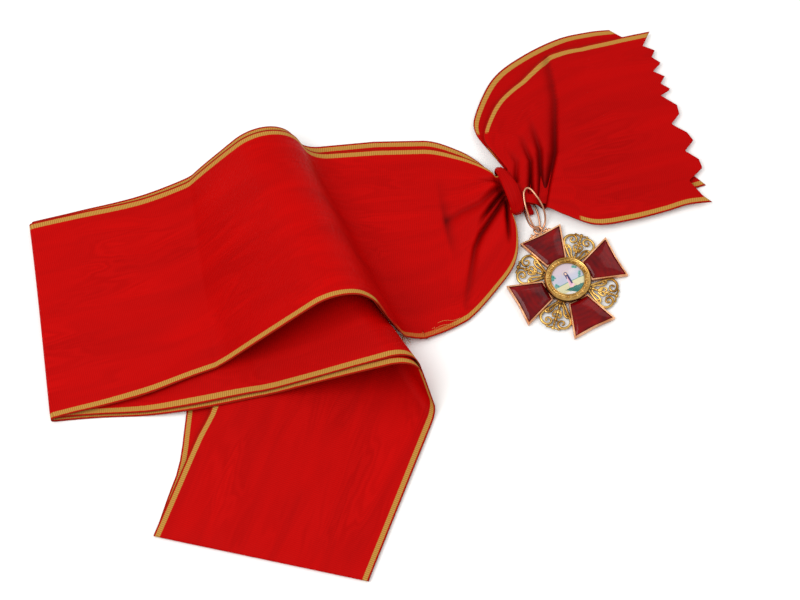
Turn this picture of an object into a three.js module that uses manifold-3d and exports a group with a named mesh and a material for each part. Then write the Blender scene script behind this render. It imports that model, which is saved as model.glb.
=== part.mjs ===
// Shoulder sash of an order: a folded silk band, gathered at a knot, with two pinked tails and an
// enamelled cross. Millimetres, +Z up, lying on the plane z = 0.
import * as THREE from "three";
import { mergeVertices } from "three/addons/utils/BufferGeometryUtils.js";
import Module from "manifold-3d";

const wasm = await Module();
wasm.setup();

// Driving sizes
const BAND_WIDTH = 101;
const HALF = BAND_WIDTH / 2;
const WALL = 1;
const LAYER_GAP = 0.4;
const LAYER = WALL + LAYER_GAP;
const STACK = 2 * LAYER;
const BED = WALL + LAYER_GAP / 2;
const FOLD_RADIUS = STACK / 2;
const CROSS_SPAN = 54.6;
const WIRE = 1;

// The cuff round the gathered neck, and the ring round the badge's middle with its clearance
const CUFF = { width: 5.9, half: 13, top: 13.4, wall: 1.25, lean: 2.4 };
const RING = { outer: 11.4, inner: 8.15, height: 3, gap: 0.35 };

// Where the left fold lies, and the heading of the upper run
const FOLD_X = -173.2;
const FOLD_Y = -11.2;
const HEADING = 17.56;
const CORNER_PULL = 7.5;
const FAR_DIP = 5.5;
const NEAR_DIP = 3.5;

// The knot: middle and heading of the gathered neck
const KNOT_X = 52.5;
const KNOT_Y = 54.1;
const KNOT_HEADING = 20;

const rad = THREE.MathUtils.degToRad;
const mix = THREE.MathUtils.lerp;
const vec = (x, y, z) => new THREE.Vector3(x, y, z);

// Bends of the upper run, from the left fold to the neck, and of the lower run, from the left fold
// to the far end. at: distance along the band, skew: slant of the ruling in degrees,
// turn: angle in degrees (up is positive), radius: of the roll.
const UPPER_BENDS = [
  { at: 0.78 * BAND_WIDTH, skew: 9.56, turn: 38.3, radius: 7.2 },
  { at: 1.288 * BAND_WIDTH, skew: -9.61, turn: -110.48, radius: 18.07 },
  { at: 1.8025 * BAND_WIDTH, skew: -22.19, turn: 73.21, radius: 11.68 },
];
const LOWER_BENDS = [
  { at: 0, skew: 5.21, turn: -180, radius: FOLD_RADIUS },
  { at: 0.896 * BAND_WIDTH, skew: 11.27, turn: -24.36, radius: 17.99 },
  { at: 1.452 * BAND_WIDTH, skew: 28.29, turn: 117.17, radius: 8.58 },
  { at: 1.751 * BAND_WIDTH, skew: 35.24, turn: 86.29, radius: 5.97 },
];
const FAR_END = { at: 3.092 * BAND_WIDTH, skew: -9.09 };
const FAN_START = { at: 2.19 * BAND_WIDTH, skew: 4 };

// A flat strip carried round one bend. place and normal are the strip's point after the later bends.
function carry(place, normal, s, w, bend) {
  const slant = rad(bend.skew);
  const angle = rad(Math.abs(bend.turn));
  const side = Math.sign(bend.turn);
  const along = vec(Math.sin(slant), Math.cos(slant), 0);
  const ahead = vec(Math.cos(slant), -Math.sin(slant), 0);
  const d = (s - bend.at) * Math.cos(slant) - w * Math.sin(slant);
  const length = bend.radius * angle;
  if (d <= 0) return [place, normal];
  const centre = vec(bend.at, 0, 0);
  const v = place.clone().sub(centre).dot(along);
  let u;
  let h;
  let nu;
  let nh;
  let nv = normal.dot(along);
  if (d < length) {
    const f = d / bend.radius;
    u = bend.radius * Math.sin(f);
    h = side * bend.radius * (1 - Math.cos(f));
    nu = -side * Math.sin(f);
    nh = Math.cos(f);
    nv = 0;
  } else {
    const beyond = place.clone().sub(centre).dot(ahead) - length;
    const n = normal.dot(ahead);
    const cos = Math.cos(angle);
    const sin = Math.sin(angle);
    u = bend.radius * sin + beyond * cos - side * place.z * sin;
    h = side * (bend.radius * (1 - cos) + beyond * sin) + place.z * cos;
    nu = n * cos - side * normal.z * sin;
    nh = side * n * sin + normal.z * cos;
  }
  const moved = centre.addScaledVector(ahead, u).addScaledVector(along, v);
  moved.z = h;
  const turned = vec(0, 0, nh).addScaledVector(ahead, nu).addScaledVector(along, nv);
  return [moved, turned];
}

// The left fold's far corner is pulled in a little, with every layer that lies there, and both long
// edges sag toward the near side. from: distance from the left fold, spread: how far it reaches.
const SAG = {
  corner: { spread: 0.396 * BAND_WIDTH, edge: -0.574 * BAND_WIDTH },
  far: { from: 0.515 * BAND_WIDTH, spread: 0.317 * BAND_WIDTH },
  near: { from: 0.713 * BAND_WIDTH, spread: 0.356 * BAND_WIDTH },
  nearEdge: { from: -0.545 * BAND_WIDTH, spread: 0.089 * BAND_WIDTH },
};
const bell = (distance, spread) => Math.exp(-((distance / spread) ** 2));
function settle(p) {
  const across = THREE.MathUtils.clamp((p.y - SAG.corner.edge) / BAND_WIDTH, 0, 1);
  p.x += CORNER_PULL * bell(p.x - FOLD_X, SAG.corner.spread) * across;
  const run = p.x - FOLD_X;
  const far = FAR_DIP * across * bell(run - SAG.far.from, SAG.far.spread);
  const atEdge = bell(p.y - SAG.nearEdge.from, SAG.nearEdge.spread);
  const near = NEAR_DIP * atEdge * bell(run - SAG.near.from, SAG.near.spread);
  p.y -= far + near;
  return p;
}

// The lowest run's left edge, which the runs above it climb over: x and y of its near end, how far it
// leans to the right for each millimetre away, the width of the climb and its softness.
const RIDGE = { x: FOLD_X + 0.71 * BAND_WIDTH, y: -0.564 * BAND_WIDTH, lean: 0.4, width: 28, soft: 0.8 };
function climb(p, base) {
  const edge = RIDGE.x + (p.y - RIDGE.y) * RIDGE.lean;
  const share = THREE.MathUtils.smoothstep(p.x, edge - RIDGE.width, edge);
  const target = base - RIDGE.soft + (STACK + RIDGE.soft) * share;
  const h = THREE.MathUtils.clamp(0.5 + (target - p.z) / (2 * RIDGE.soft), 0, 1);
  p.z = mix(p.z, target, h) + RIDGE.soft * h * (1 - h);
  return p;
}

// Middle surface of the doubled band: s along it, w across it (far edge positive).
function bandPoint(bends, s, w, heading, side) {
  let place = vec(s, side * w, 0);
  let normal = vec(0, 0, 1);
  for (const bend of [...bends].reverse()) [place, normal] = carry(place, normal, s, side * w, bend);
  const turn = vec(0, 0, 1);
  place.applyAxisAngle(turn, rad(heading));
  normal.applyAxisAngle(turn, rad(heading));
  place.add(vec(FOLD_X, FOLD_Y, BED + STACK));
  settle(place);
  if (s > 0.3 * BAND_WIDTH && s < 1.35 * BAND_WIDTH) climb(place, side > 0 ? BED + STACK : BED);
  return [place, normal];
}
const upperPoint = (s, w) => bandPoint(UPPER_BENDS, s, w, HEADING, 1);
const lowerPoint = (s, w) => bandPoint(LOWER_BENDS, s, w, HEADING + 180, -1);

// Sections of the fans, in the knot's frame: far, middle and near point of the cloth across, with
// its height there. a, along the neck, and b, across it, are shares of BAND_WIDTH, and z of the cuff.
const LOOP_FAN = [
  { fa: -0.155, fb: 0.268, fz: 0.166, ma: -0.312, mb: -0.1, mz: 0.196, na: -0.42, nb: -0.54, nz: 0.098 },
  { fa: -0.09, fb: 0.2, fz: 0.271, ma: -0.2, mb: -0.07, mz: 0.377, na: -0.225, nb: -0.43, nz: 0.121 },
  { fa: -0.058, fb: 0.15, fz: 0.377, ma: -0.115, mb: -0.045, mz: 0.558, na: -0.09, nb: -0.325, nz: 0.196 },
  { fa: -0.04, fb: 0.115, fz: 0.467, ma: -0.062, mb: -0.02, mz: 0.603, na: -0.045, nb: -0.2, nz: 0.317 },
  { fa: -0.03, fb: 0.09, fz: 0.482, ma: -0.034, mb: 0, mz: 0.543, na: -0.03, nb: -0.084, nz: 0.513 },
  { fa: 0.004, fb: 0.086, fz: 0.49, ma: 0.004, mb: 0, mz: 0.513, na: 0.004, nb: -0.086, nz: 0.49 },
];
const FRONT_FAN = [
  { fa: 0.014, fb: 0.088, fz: 0.633, ma: 0.014, mb: 0, mz: 0.663, na: 0.014, nb: -0.085, nz: 0.603 },
  { fa: 0.034, fb: 0.1, fz: 0.633, ma: 0.045, mb: 0, mz: 0.678, na: 0.045, nb: -0.087, nz: 0.603 },
  { fa: 0.01, fb: 0.19, fz: 0.588, ma: 0.09, mb: 0.025, mz: 0.663, na: 0.09, nb: -0.105, nz: 0.543 },
  { fa: -0.012, fb: 0.29, fz: 0.467, ma: 0.15, mb: 0.06, mz: 0.603, na: 0.15, nb: -0.145, nz: 0.467 },
  { fa: 0.035, fb: 0.38, fz: 0.377, ma: 0.24, mb: 0.1, mz: 0.497, na: 0.22, nb: -0.21, nz: 0.407 },
  { fa: 0.145, fb: 0.48, fz: 0.332, ma: 0.36, mb: 0.125, mz: 0.392, na: 0.34, nb: -0.305, nz: 0.347 },
  { fa: 0.34, fb: 0.558, fz: 0.301, ma: 0.52, mb: 0.13, mz: 0.332, na: 0.51, nb: -0.337, nz: 0.301 },
  { fa: 0.55, fb: 0.607, fz: 0.271, ma: 0.68, mb: 0.125, mz: 0.286, na: 0.68, nb: -0.35, nz: 0.271 },
  { fa: 0.76, fb: 0.592, fz: 0.256, ma: 0.8, mb: 0.118, mz: 0.256, na: 0.79, nb: -0.352, nz: 0.256 },
  { fa: 0.905, fb: 0.575, fz: 0.241, ma: 0.89, mb: 0.11, mz: 0.241, na: 0.855, nb: -0.365, nz: 0.241 },
];
const REAR_FAN = [
  { fa: 0.014, fb: 0.088, fz: 0.347, ma: 0.014, mb: 0, mz: 0.347, na: 0.014, nb: -0.085, nz: 0.347 },
  { fa: 0.03, fb: 0.105, fz: 0.347, ma: 0.045, mb: 0, mz: 0.347, na: 0.045, nb: -0.087, nz: 0.347 },
  { fa: 0, fb: 0.21, fz: 0.332, ma: 0.09, mb: 0.03, mz: 0.347, na: 0.09, nb: -0.1, nz: 0.347 },
  { fa: -0.035, fb: 0.35, fz: 0.241, ma: 0.15, mb: 0.09, mz: 0.301, na: 0.15, nb: -0.115, nz: 0.286 },
  { fa: 0.003, fb: 0.45, fz: 0.166, ma: 0.24, mb: 0.15, mz: 0.211, na: 0.22, nb: -0.16, nz: 0.211 },
  { fa: 0.15, fb: 0.6, fz: 0.09, ma: 0.36, mb: 0.19, mz: 0.106, na: 0.34, nb: -0.21, nz: 0.106 },
  { fa: 0.33, fb: 0.668, fz: 0.06, ma: 0.52, mb: 0.21, mz: 0.06, na: 0.51, nb: -0.24, nz: 0.06 },
  { fa: 0.53, fb: 0.695, fz: 0.045, ma: 0.66, mb: 0.21, mz: 0.045, na: 0.68, nb: -0.26, nz: 0.045 },
  { fa: 0.68, fb: 0.68, fz: 0.045, ma: 0.77, mb: 0.205, mz: 0.045, na: 0.78, nb: -0.268, nz: 0.045 },
  { fa: 0.785, fb: 0.655, fz: 0.045, ma: 0.84, mb: 0.2, mz: 0.045, na: 0.87, nb: -0.275, nz: 0.045 },
];

// Creases that run out from the neck, in the knot's frame (shares of BAND_WIDTH): three points,
// how deep the crease is and how wide.
const LOOP_CREASES = [
  { a1: -0.02, b1: 0.055, a2: -0.08, b2: 0.085, a3: -0.2, b3: 0.18, deep: 0.012, wide: 0.026 },
  { a1: -0.02, b1: 0.018, a2: -0.11, b2: 0, a3: -0.31, b3: -0.037, deep: 0.015, wide: 0.028 },
  { a1: -0.02, b1: -0.02, a2: -0.12, b2: -0.075, a3: -0.2, b3: -0.15, deep: 0.013, wide: 0.026 },
  { a1: -0.02, b1: -0.05, a2: -0.14, b2: -0.18, a3: -0.38, b3: -0.46, deep: 0.018, wide: 0.036 },
  { a1: -0.05, b1: -0.12, a2: -0.07, b2: -0.21, a3: -0.1, b3: -0.31, deep: 0.013, wide: 0.03 },
];
const FRONT_CREASES = [
  { a1: 0.17, b1: -0.08, a2: 0.3, b2: 0.13, a3: 0.42, b3: 0.52, deep: 0.018, wide: 0.03 },
  { a1: 0.13, b1: -0.01, a2: 0.232, b2: 0.168, a3: 0.243, b3: 0.346, deep: 0.014, wide: 0.028 },
  { a1: 0.1, b1: 0.04, a2: 0.16, b2: 0.13, a3: 0.16, b3: 0.29, deep: 0.014, wide: 0.026 },
];

// Teeth of the pinked ends: across is a share of the half width, out a share of BAND_WIDTH.
const FRONT_TEETH = [
  { across: 1, out: 0.06 }, { across: 0.85, out: 0 }, { across: 0.77, out: 0.048 },
  { across: 0.7, out: 0.02 }, { across: 0.61, out: 0.052 }, { across: 0.54, out: -0.002 },
  { across: 0.45, out: 0.044 }, { across: 0.38, out: 0.012 }, { across: 0.29, out: 0.05 },
  { across: 0.25, out: -0.01 }, { across: 0.1, out: 0.05 }, { across: 0, out: 0.045 },
  { across: -0.09, out: -0.01 }, { across: -0.22, out: 0.05 }, { across: -0.32, out: 0.066 },
  { across: -0.41, out: 0.008 }, { across: -0.53, out: 0.06 }, { across: -0.63, out: 0.062 },
  { across: -0.74, out: -0.02 }, { across: -0.92, out: 0.02 }, { across: -1, out: 0.055 },
];
const REAR_TEETH = [
  { across: 1, out: 0 }, { across: 0.86, out: 0.05 }, { across: 0.72, out: 0 },
  { across: 0.58, out: 0.04 }, { across: 0.44, out: -0.01 }, { across: 0.3, out: 0.03 },
  { across: 0.15, out: -0.015 }, { across: 0, out: 0.03 }, { across: -0.15, out: -0.015 },
  { across: -0.3, out: 0.03 }, { across: -0.45, out: -0.015 }, { across: -0.6, out: 0.03 },
  { across: -0.75, out: -0.015 }, { across: -0.88, out: 0.02 }, { across: -1, out: 0.05 },
];

// Solids from three.js geometry, joined
function toSolid(geometry) {
  const bare = geometry.index ? geometry.clone() : geometry;
  for (const name of ["normal", "uv"]) if (bare.attributes[name]) bare.deleteAttribute(name);
  const merged = mergeVertices(bare, 1e-4);
  return new wasm.Manifold(new wasm.Mesh({
    numProp: 3,
    vertProperties: new Float32Array(merged.attributes.position.array),
    triVerts: new Uint32Array(merged.index.array),
  }));
}
function toGeometry(solid) {
  const mesh = solid.getMesh();
  const geometry = new THREE.BufferGeometry();
  geometry.setAttribute("position", new THREE.BufferAttribute(new Float32Array(mesh.vertProperties), 3));
  geometry.setIndex(new THREE.BufferAttribute(new Uint32Array(mesh.triVerts), 1));
  return geometry;
}
const join = (geometries) => toGeometry(geometries.map(toSolid).reduce((all, one) => all.add(one)));

// From the knot's frame to the sash's
function fromKnot(a, b, z) {
  const turn = rad(KNOT_HEADING);
  return vec(
    KNOT_X + a * Math.cos(turn) - b * Math.sin(turn),
    KNOT_Y + a * Math.sin(turn) + b * Math.cos(turn),
    z,
  );
}

// Smooth curve through a row of numbers
function through(values, f) {
  const last = values.length - 1;
  const i = Math.min(Math.floor(f), last - 1);
  const t = f - i;
  const p1 = values[i];
  const p2 = values[i + 1];
  const m1 = (p2 - values[Math.max(i - 1, 0)]) / 2;
  const m2 = (values[Math.min(i + 2, last)] - p1) / 2;
  const t2 = t * t;
  const t3 = t2 * t;
  return (2 * t3 - 3 * t2 + 1) * p1 + (t3 - 2 * t2 + t) * m1 + (3 * t2 - 2 * t3) * p2 + (t3 - t2) * m2;
}

// Depth of the creases at a place in the knot's frame
function creased(creases, a, b) {
  let depth = 0;
  for (const c of creases) {
    const ends = [[c.a1, c.b1, c.a2, c.b2], [c.a2, c.b2, c.a3, c.b3]];
    let nearest = Infinity;
    for (const [a1, b1, a2, b2] of ends) {
      const da = (a2 - a1) * BAND_WIDTH;
      const db = (b2 - b1) * BAND_WIDTH;
      const ra = a - a1 * BAND_WIDTH;
      const rb = b - b1 * BAND_WIDTH;
      const t = THREE.MathUtils.clamp((ra * da + rb * db) / (da * da + db * db), 0, 1);
      nearest = Math.min(nearest, Math.hypot(ra - t * da, rb - t * db));
    }
    depth += c.deep * BAND_WIDTH * Math.exp(-((nearest / (c.wide * BAND_WIDTH)) ** 2));
  }
  return depth;
}

// A fan's surface point: f along its sections, v across (1 at the far edge, -1 at the near edge)
function fanPoint(sections, creases, f, v, floor) {
  const at = (key, size = BAND_WIDTH) => through(sections.map((row) => row[key]), f) * size;
  const bow = (far, mid, near) => mid + (far - near) * v / 2 + ((far + near) / 2 - mid) * v * v;
  const a = bow(at("fa"), at("ma"), at("na"));
  const b = bow(at("fb"), at("mb"), at("nb"));
  const z = bow(at("fz", CUFF.top), at("mz", CUFF.top), at("nz", CUFF.top)) - creased(creases, a, b);
  return fromKnot(a, b, Math.max(z, floor));
}
function slope(point, f, v, last) {
  const e = 0.02;
  const f1 = Math.max(f - e, 0);
  const f2 = Math.min(f + e, last);
  const along = point(f2, v).sub(point(f1, v));
  const across = point(f, v + e).sub(point(f, v - e));
  const normal = along.cross(across).normalize();
  return normal.z < 0 ? normal.negate() : normal;
}

// A closed cloth solid from columns of outer and inner points. Columns may have different counts:
// each holds its places across, so neighbours are zipped together.
function clothSolid(columns) {
  const points = [];
  const faces = [];
  const laid = columns.map((column) => {
    const put = (side) => column.map((row) => points.push(row[side]) - 1);
    return { across: column.map((row) => row.v), outer: put("outer"), inner: put("inner") };
  });
  const zip = (left, right, side, flip) => {
    let i = 0;
    let j = 0;
    while (i < left.across.length - 1 || j < right.across.length - 1) {
      const nextLeft = i < left.across.length - 1 ? left.across[i + 1] : Infinity;
      const nextRight = j < right.across.length - 1 ? right.across[j + 1] : Infinity;
      const stepLeft = nextLeft <= nextRight;
      const far = stepLeft ? left[side][i + 1] : right[side][j + 1];
      const face = [left[side][i], right[side][j], far];
      faces.push(flip ? face.reverse() : face);
      if (stepLeft) i += 1;
      else j += 1;
    }
  };
  for (let k = 0; k < laid.length - 1; k += 1) {
    const left = laid[k];
    const right = laid[k + 1];
    zip(left, right, "outer", false);
    zip(left, right, "inner", true);
    faces.push([left.outer[0], left.inner[0], right.outer[0]], [right.outer[0], left.inner[0], right.inner[0]]);
    const a = left.outer.length - 1;
    const b = right.outer.length - 1;
    faces.push([left.outer[a], right.outer[b], left.inner[a]], [right.outer[b], right.inner[b], left.inner[a]]);
  }
  const cap = (end, flip) => {
    for (let i = 0; i < end.outer.length - 1; i += 1) {
      const pair = [
        [end.outer[i], end.outer[i + 1], end.inner[i]],
        [end.outer[i + 1], end.inner[i + 1], end.inner[i]],
      ];
      for (const face of pair) faces.push(flip ? face.reverse() : face);
    }
  };
  cap(laid[0], false);
  cap(laid[laid.length - 1], true);
  const geometry = new THREE.BufferGeometry();
  geometry.setAttribute("position", new THREE.Float32BufferAttribute(points.flatMap((p) => p.toArray()), 3));
  geometry.setIndex(faces.flatMap(([a, b, c]) => [a, c, b]));
  return geometry;
}

// The band's own list of columns, from the neck round to the far end
const BAND_ROWS = [-1, -0.5, 0, 0.5, 1];
const evenRows = (count) => Array.from({ length: count + 1 }, (_, i) => -1 + 2 * i / count);
const FAN_ROWS = evenRows(16);
function bendColumns(bends, steps, point, from) {
  const columns = [];
  bends.forEach((bend, k) => {
    const length = bend.radius * rad(Math.abs(bend.turn)) / Math.cos(rad(bend.skew));
    const count = steps[k];
    for (let i = 0; i <= count; i += 1) {
      columns.push({ at: bend.at + length * i / count, skew: bend.skew, point, from });
    }
  });
  return columns;
}
const upperColumns = bendColumns(UPPER_BENDS, [2, 8, 5], upperPoint, "upper");
const lowerColumns = bendColumns(LOWER_BENDS, [5, 2, 8, 5], lowerPoint, "lower");

// Closer columns where the runs climb over the lowest run's edge
const CLIMB_ROWS = evenRows(13);
function climbColumns(shares, skewFrom, skewTo, point, from) {
  const last = shares.length - 1;
  return shares.map((share, i) => ({
    at: share * BAND_WIDTH, skew: mix(skewFrom, skewTo, i / last), point, from, rows: CLIMB_ROWS,
  }));
}
for (const column of upperColumns.slice(0, 3)) column.rows = CLIMB_ROWS;
upperColumns.splice(3, 0, ...climbColumns([0.89, 0.95], 9, 7, upperPoint, "upper"));
upperColumns.unshift(...climbColumns([0.42, 0.49, 0.56, 0.63, 0.71], 8, 9.5, upperPoint, "upper"));
upperColumns.reverse();
const climbEnd = lowerColumns.findIndex((column) => column.at > LOWER_BENDS[2].at - 0.01);
for (const column of lowerColumns.slice(climbEnd - 3, climbEnd)) column.rows = CLIMB_ROWS;
lowerColumns.splice(climbEnd, 0, ...climbColumns([1.03, 1.1, 1.18], 13, 18, lowerPoint, "lower"));
const underFold = climbColumns([0.44, 0.51, 0.58, 0.65, 0.72, 0.79, 0.85], 8, 11.2, lowerPoint, "lower");
lowerColumns.splice(climbEnd - 3, 0, ...underFold);
lowerColumns.push({ at: FAR_END.at - 0.5 * BAND_WIDTH, skew: 20, point: lowerPoint, from: "lower" });
lowerColumns.push({ ...FAR_END, point: lowerPoint, from: "lower" });
lowerColumns[0].at += 0.02;

// How far the under layer has slipped toward the far edge, along the band
const SLIP = [
  { run: -2.6, slip: 0.028 }, { run: -1.8, slip: 0.036 }, { run: -1, slip: 0.028 },
  { run: 0, slip: 0.012 }, { run: 1, slip: 0.018 }, { run: 1.75, slip: 0.04 },
  { run: 2.3, slip: 0.16 }, { run: 2.45, slip: 0.15 }, { run: 2.9, slip: 0.015 }, { run: 3.1, slip: 0 },
];
function slipAt(run) {
  const share = run / BAND_WIDTH;
  const next = SLIP.findIndex((row) => row.run >= share);
  if (next <= 0) return SLIP[0].slip * BAND_WIDTH;
  const a = SLIP[next - 1];
  const b = SLIP[next];
  const t = THREE.MathUtils.smoothstep(share, a.run, b.run);
  return mix(a.slip, b.slip, t) * BAND_WIDTH;
}

// Distance along the band where a column's ruling crosses w. The lower run is seen from beneath.
function rulingAt(column, w) {
  return column.at + (column.from === "upper" ? w : -w) * Math.tan(rad(column.skew));
}

// One column of one layer: 1 is the layer on top in the upper run, -1 the layer beneath it
function bandColumn(column, layer) {
  const run = column.from === "upper" ? -column.at : column.at;
  return (column.rows ?? BAND_ROWS).map((v) => {
    const w = v * HALF + (layer < 0 ? slipAt(run) : 0);
    const [place, normal] = column.point(rulingAt(column, w), w);
    return layerRow(place, normal, layer, v);
  });
}
function layerRow(place, normal, layer, v) {
  const outer = place.clone().addScaledVector(normal, layer * (LAYER_GAP / 2 + WALL));
  const inner = place.clone().addScaledVector(normal, layer * LAYER_GAP / 2);
  if (outer.z < 0.08) outer.z = 0;
  return { v, outer, inner };
}

// The gathered fan joins the band: its first two sections are the band's own
function bandSection(at, skew) {
  const toKnot = (p) => {
    const turn = rad(KNOT_HEADING);
    const x = p.x - KNOT_X;
    const y = p.y - KNOT_Y;
    const a = x * Math.cos(turn) + y * Math.sin(turn);
    return [a / BAND_WIDTH, (y * Math.cos(turn) - x * Math.sin(turn)) / BAND_WIDTH, p.z / CUFF.top];
  };
  const point = (w) => toKnot(upperPoint(rulingAt({ at, skew, from: "upper" }, w), w)[0]);
  const [fa, fb, fz] = point(HALF);
  const [ma, mb, mz] = point(0);
  const [na, nb, nz] = point(-HALF);
  return { fa, fb, fz, ma, mb, mz, na, nb, nz };
}
const loopSections = [
  bandSection(FAN_START.at - 0.14 * BAND_WIDTH, 0),
  bandSection(FAN_START.at, FAN_START.skew),
  ...LOOP_FAN,
];
const loopLast = loopSections.length - 1;
const loopFan = (f, v) => fanPoint(loopSections, LOOP_CREASES, f, v, BED);
const FAN_STEPS = [7, 6.5, 6, 5.5, 5, 4.5, 4, 3.5, 3, 2.4, 1.7, 1];
function fanColumn(f, layer) {
  return FAN_ROWS.map((v) => {
    const fade = THREE.MathUtils.smoothstep(loopLast - f, 1.5, loopLast - 1);
    const across = v + (layer < 0 ? slipAt(-2.3 * BAND_WIDTH) * fade / HALF : 0);
    return layerRow(loopFan(f, across), slope(loopFan, f, across, loopLast), layer, v);
  });
}
function sashLoop() {
  const upper = FAN_STEPS.map((f) => fanColumn(f, 1));
  const under = FAN_STEPS.map((f) => fanColumn(f, -1));
  const band = [...upperColumns, ...lowerColumns];
  upper.push(...band.map((column) => bandColumn(column, 1)));
  under.push(...band.map((column) => bandColumn(column, -1)));
  const turn = [];
  for (const share of [0.2, 0.4, 0.6, 0.8]) {
    const f = share * Math.PI;
    turn.push(BAND_ROWS.map((v) => {
      const w = v * HALF;
      const s = rulingAt({ ...FAR_END, from: "lower" }, w);
      const [place, normal] = lowerPoint(s, w);
      const onward = lowerPoint(s + 1, w)[0].sub(place).normalize();
      const out = normal.clone().multiplyScalar(Math.cos(f)).addScaledVector(onward, Math.sin(f));
      return layerRow(place, out, 1, v);
    }));
  }
  return clothSolid([...upper, ...turn, ...under.reverse()]);
}

// A tail: one layer, gathered at the neck and pinked at its end
function tail(sections, creases, teeth, steps) {
  const last = sections.length - 1;
  const point = (f, v) => fanPoint(sections, creases, f, v, WALL / 2);
  const rows = teeth.map((tooth) => tooth.across).reverse();
  const place = (p, normal, v) => ({
    v,
    outer: p.clone().addScaledVector(normal, WALL / 2),
    inner: p.clone().addScaledVector(normal, -WALL / 2),
  });
  const columns = [];
  for (let i = 0; i <= steps; i += 1) {
    const f = last * i / steps;
    columns.push(rows.map((v) => place(point(f, v), slope(point, f, v, last), v)));
  }
  const outs = teeth.map((tooth) => tooth.out).reverse();
  columns[columns.length - 1] = rows.map((v, k) => {
    const edge = point(last, v);
    const onward = edge.clone().sub(point(last - 0.4, v)).setZ(0).normalize();
    return place(edge.addScaledVector(onward, outs[k] * BAND_WIDTH), slope(point, last, v, last), v);
  });
  return clothSolid(columns.reverse());
}

// The cuff: a band of cloth wrapped round the neck, its right mouth slanting away below
function knotCuff() {
  const ring = new THREE.Shape();
  const height = CUFF.top / 2;
  ring.absellipse(0, height, CUFF.half, height, 0, Math.PI * 2, false, 0);
  const hole = new THREE.Path();
  hole.absellipse(0, height, CUFF.half - CUFF.wall, height - CUFF.wall, 0, Math.PI * 2, true, 0);
  ring.holes.push(hole);
  const geometry = new THREE.ExtrudeGeometry(ring, {
    depth: CUFF.width, steps: 3, curveSegments: 18, bevelEnabled: false,
  });
  const position = geometry.attributes.position;
  for (let i = 0; i < position.count; i += 1) {
    const across = position.getX(i);
    const up = position.getY(i);
    const along = position.getZ(i) / CUFF.width;
    const waist = 1 - 0.05 * Math.sin(Math.PI * along);
    const shift = -2.5 + along * (CUFF.width - CUFF.lean * Math.max(across / CUFF.half, -0.1));
    const p = fromKnot(shift, across * (up > height ? waist : 1), up);
    position.setXYZ(i, p.x, p.y, p.z);
  }
  return geometry;
}

// The hanger: a flattened strap ring sewn beneath the neck, which the suspension loop passes through
const STRAP = { from: 5.5, wide: 2.8, near: -14, far: 2, high: 3.6, wall: 1 };
function badgeStrap() {
  const outline = (inset) => {
    const shape = inset ? new THREE.Path() : new THREE.Shape();
    const radius = STRAP.high / 2 - inset;
    const middle = STRAP.high / 2;
    const near = STRAP.near + STRAP.high / 2;
    const far = STRAP.far - STRAP.high / 2;
    shape.absarc(far, middle, radius, -Math.PI / 2, Math.PI / 2, false);
    shape.absarc(near, middle, radius, Math.PI / 2, Math.PI * 1.5, false);
    shape.closePath();
    return shape;
  };
  const shape = outline(0);
  shape.holes.push(outline(STRAP.wall));
  const geometry = new THREE.ExtrudeGeometry(shape, {
    depth: STRAP.wide, steps: 1, curveSegments: 8, bevelEnabled: false,
  });
  const position = geometry.attributes.position;
  for (let i = 0; i < position.count; i += 1) {
    const p = fromKnot(STRAP.from + position.getZ(i), position.getX(i), position.getY(i));
    position.setXYZ(i, p.x, p.y, p.z);
  }
  return geometry;
}

// The suspension loop: two long wire ovals joined where they pass through the eyelet. Places in the
// knot's frame: along and across as shares of BAND_WIDTH, height as a share of the cuff's.
const FRONT_OVAL = [
  [0.0693, -0.2257, 0.201], [0.0554, -0.2139, 0.343], [0.0475, -0.1881, 0.418], [0.0446, -0.1505, 0.537],
  [0.0446, -0.1139, 0.672], [0.0505, -0.0743, 0.761], [0.0604, -0.0455, 0.813], [0.0812, -0.0307, 0.828],
  [0.098, -0.0455, 0.813], [0.1089, -0.0782, 0.761], [0.1188, -0.1079, 0.694], [0.1257, -0.1386, 0.552],
  [0.1277, -0.1673, 0.343], [0.1188, -0.198, 0.142], [0.097, -0.2198, 0.067], [0.0772, -0.2267, 0.104],
  [0.0693, -0.2257, 0.201],
];
const REAR_OVAL = [
  [0.0683, -0.2248, 0.216], [0.0515, -0.2188, 0.328], [0.0386, -0.1931, 0.328], [0.0386, -0.1535, 0.239],
  [0.0426, -0.1139, 0.172], [0.046, -0.0812, 0.134], [0.0535, -0.0634, 0.127], [0.0693, -0.0584, 0.127],
  [0.0861, -0.0634, 0.127], [0.097, -0.0812, 0.134], [0.102, -0.1139, 0.134], [0.101, -0.1485, 0.119],
  [0.0941, -0.1842, 0.082], [0.0851, -0.2119, 0.067], [0.0733, -0.2248, 0.104], [0.0683, -0.2248, 0.216],
];
const knotPlace = ([a, b, z]) => fromKnot(a * BAND_WIDTH, b * BAND_WIDTH, z * CUFF.top);
function wire(places, radius, sides, steps) {
  const path = new THREE.CatmullRomCurve3(places.map(knotPlace), false, "centripetal");
  const section = new THREE.Shape();
  for (let i = 0; i < sides; i += 1) {
    const f = (2 * Math.PI * i) / sides;
    const put = i ? "lineTo" : "moveTo";
    section[put](radius * Math.cos(f), radius * Math.sin(f));
  }
  section.closePath();
  return new THREE.ExtrudeGeometry(section, { steps, bevelEnabled: false, extrudePath: path });
}
function bail() {
  const joint = new THREE.SphereGeometry(0.62 * WIRE, 10, 6);
  const middle = knotPlace(FRONT_OVAL[0]);
  joint.translate(middle.x, middle.y, middle.z);
  return join([wire(FRONT_OVAL, WIRE / 2, 6, 38), wire(REAR_OVAL, WIRE / 2, 6, 34), joint]);
}

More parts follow.
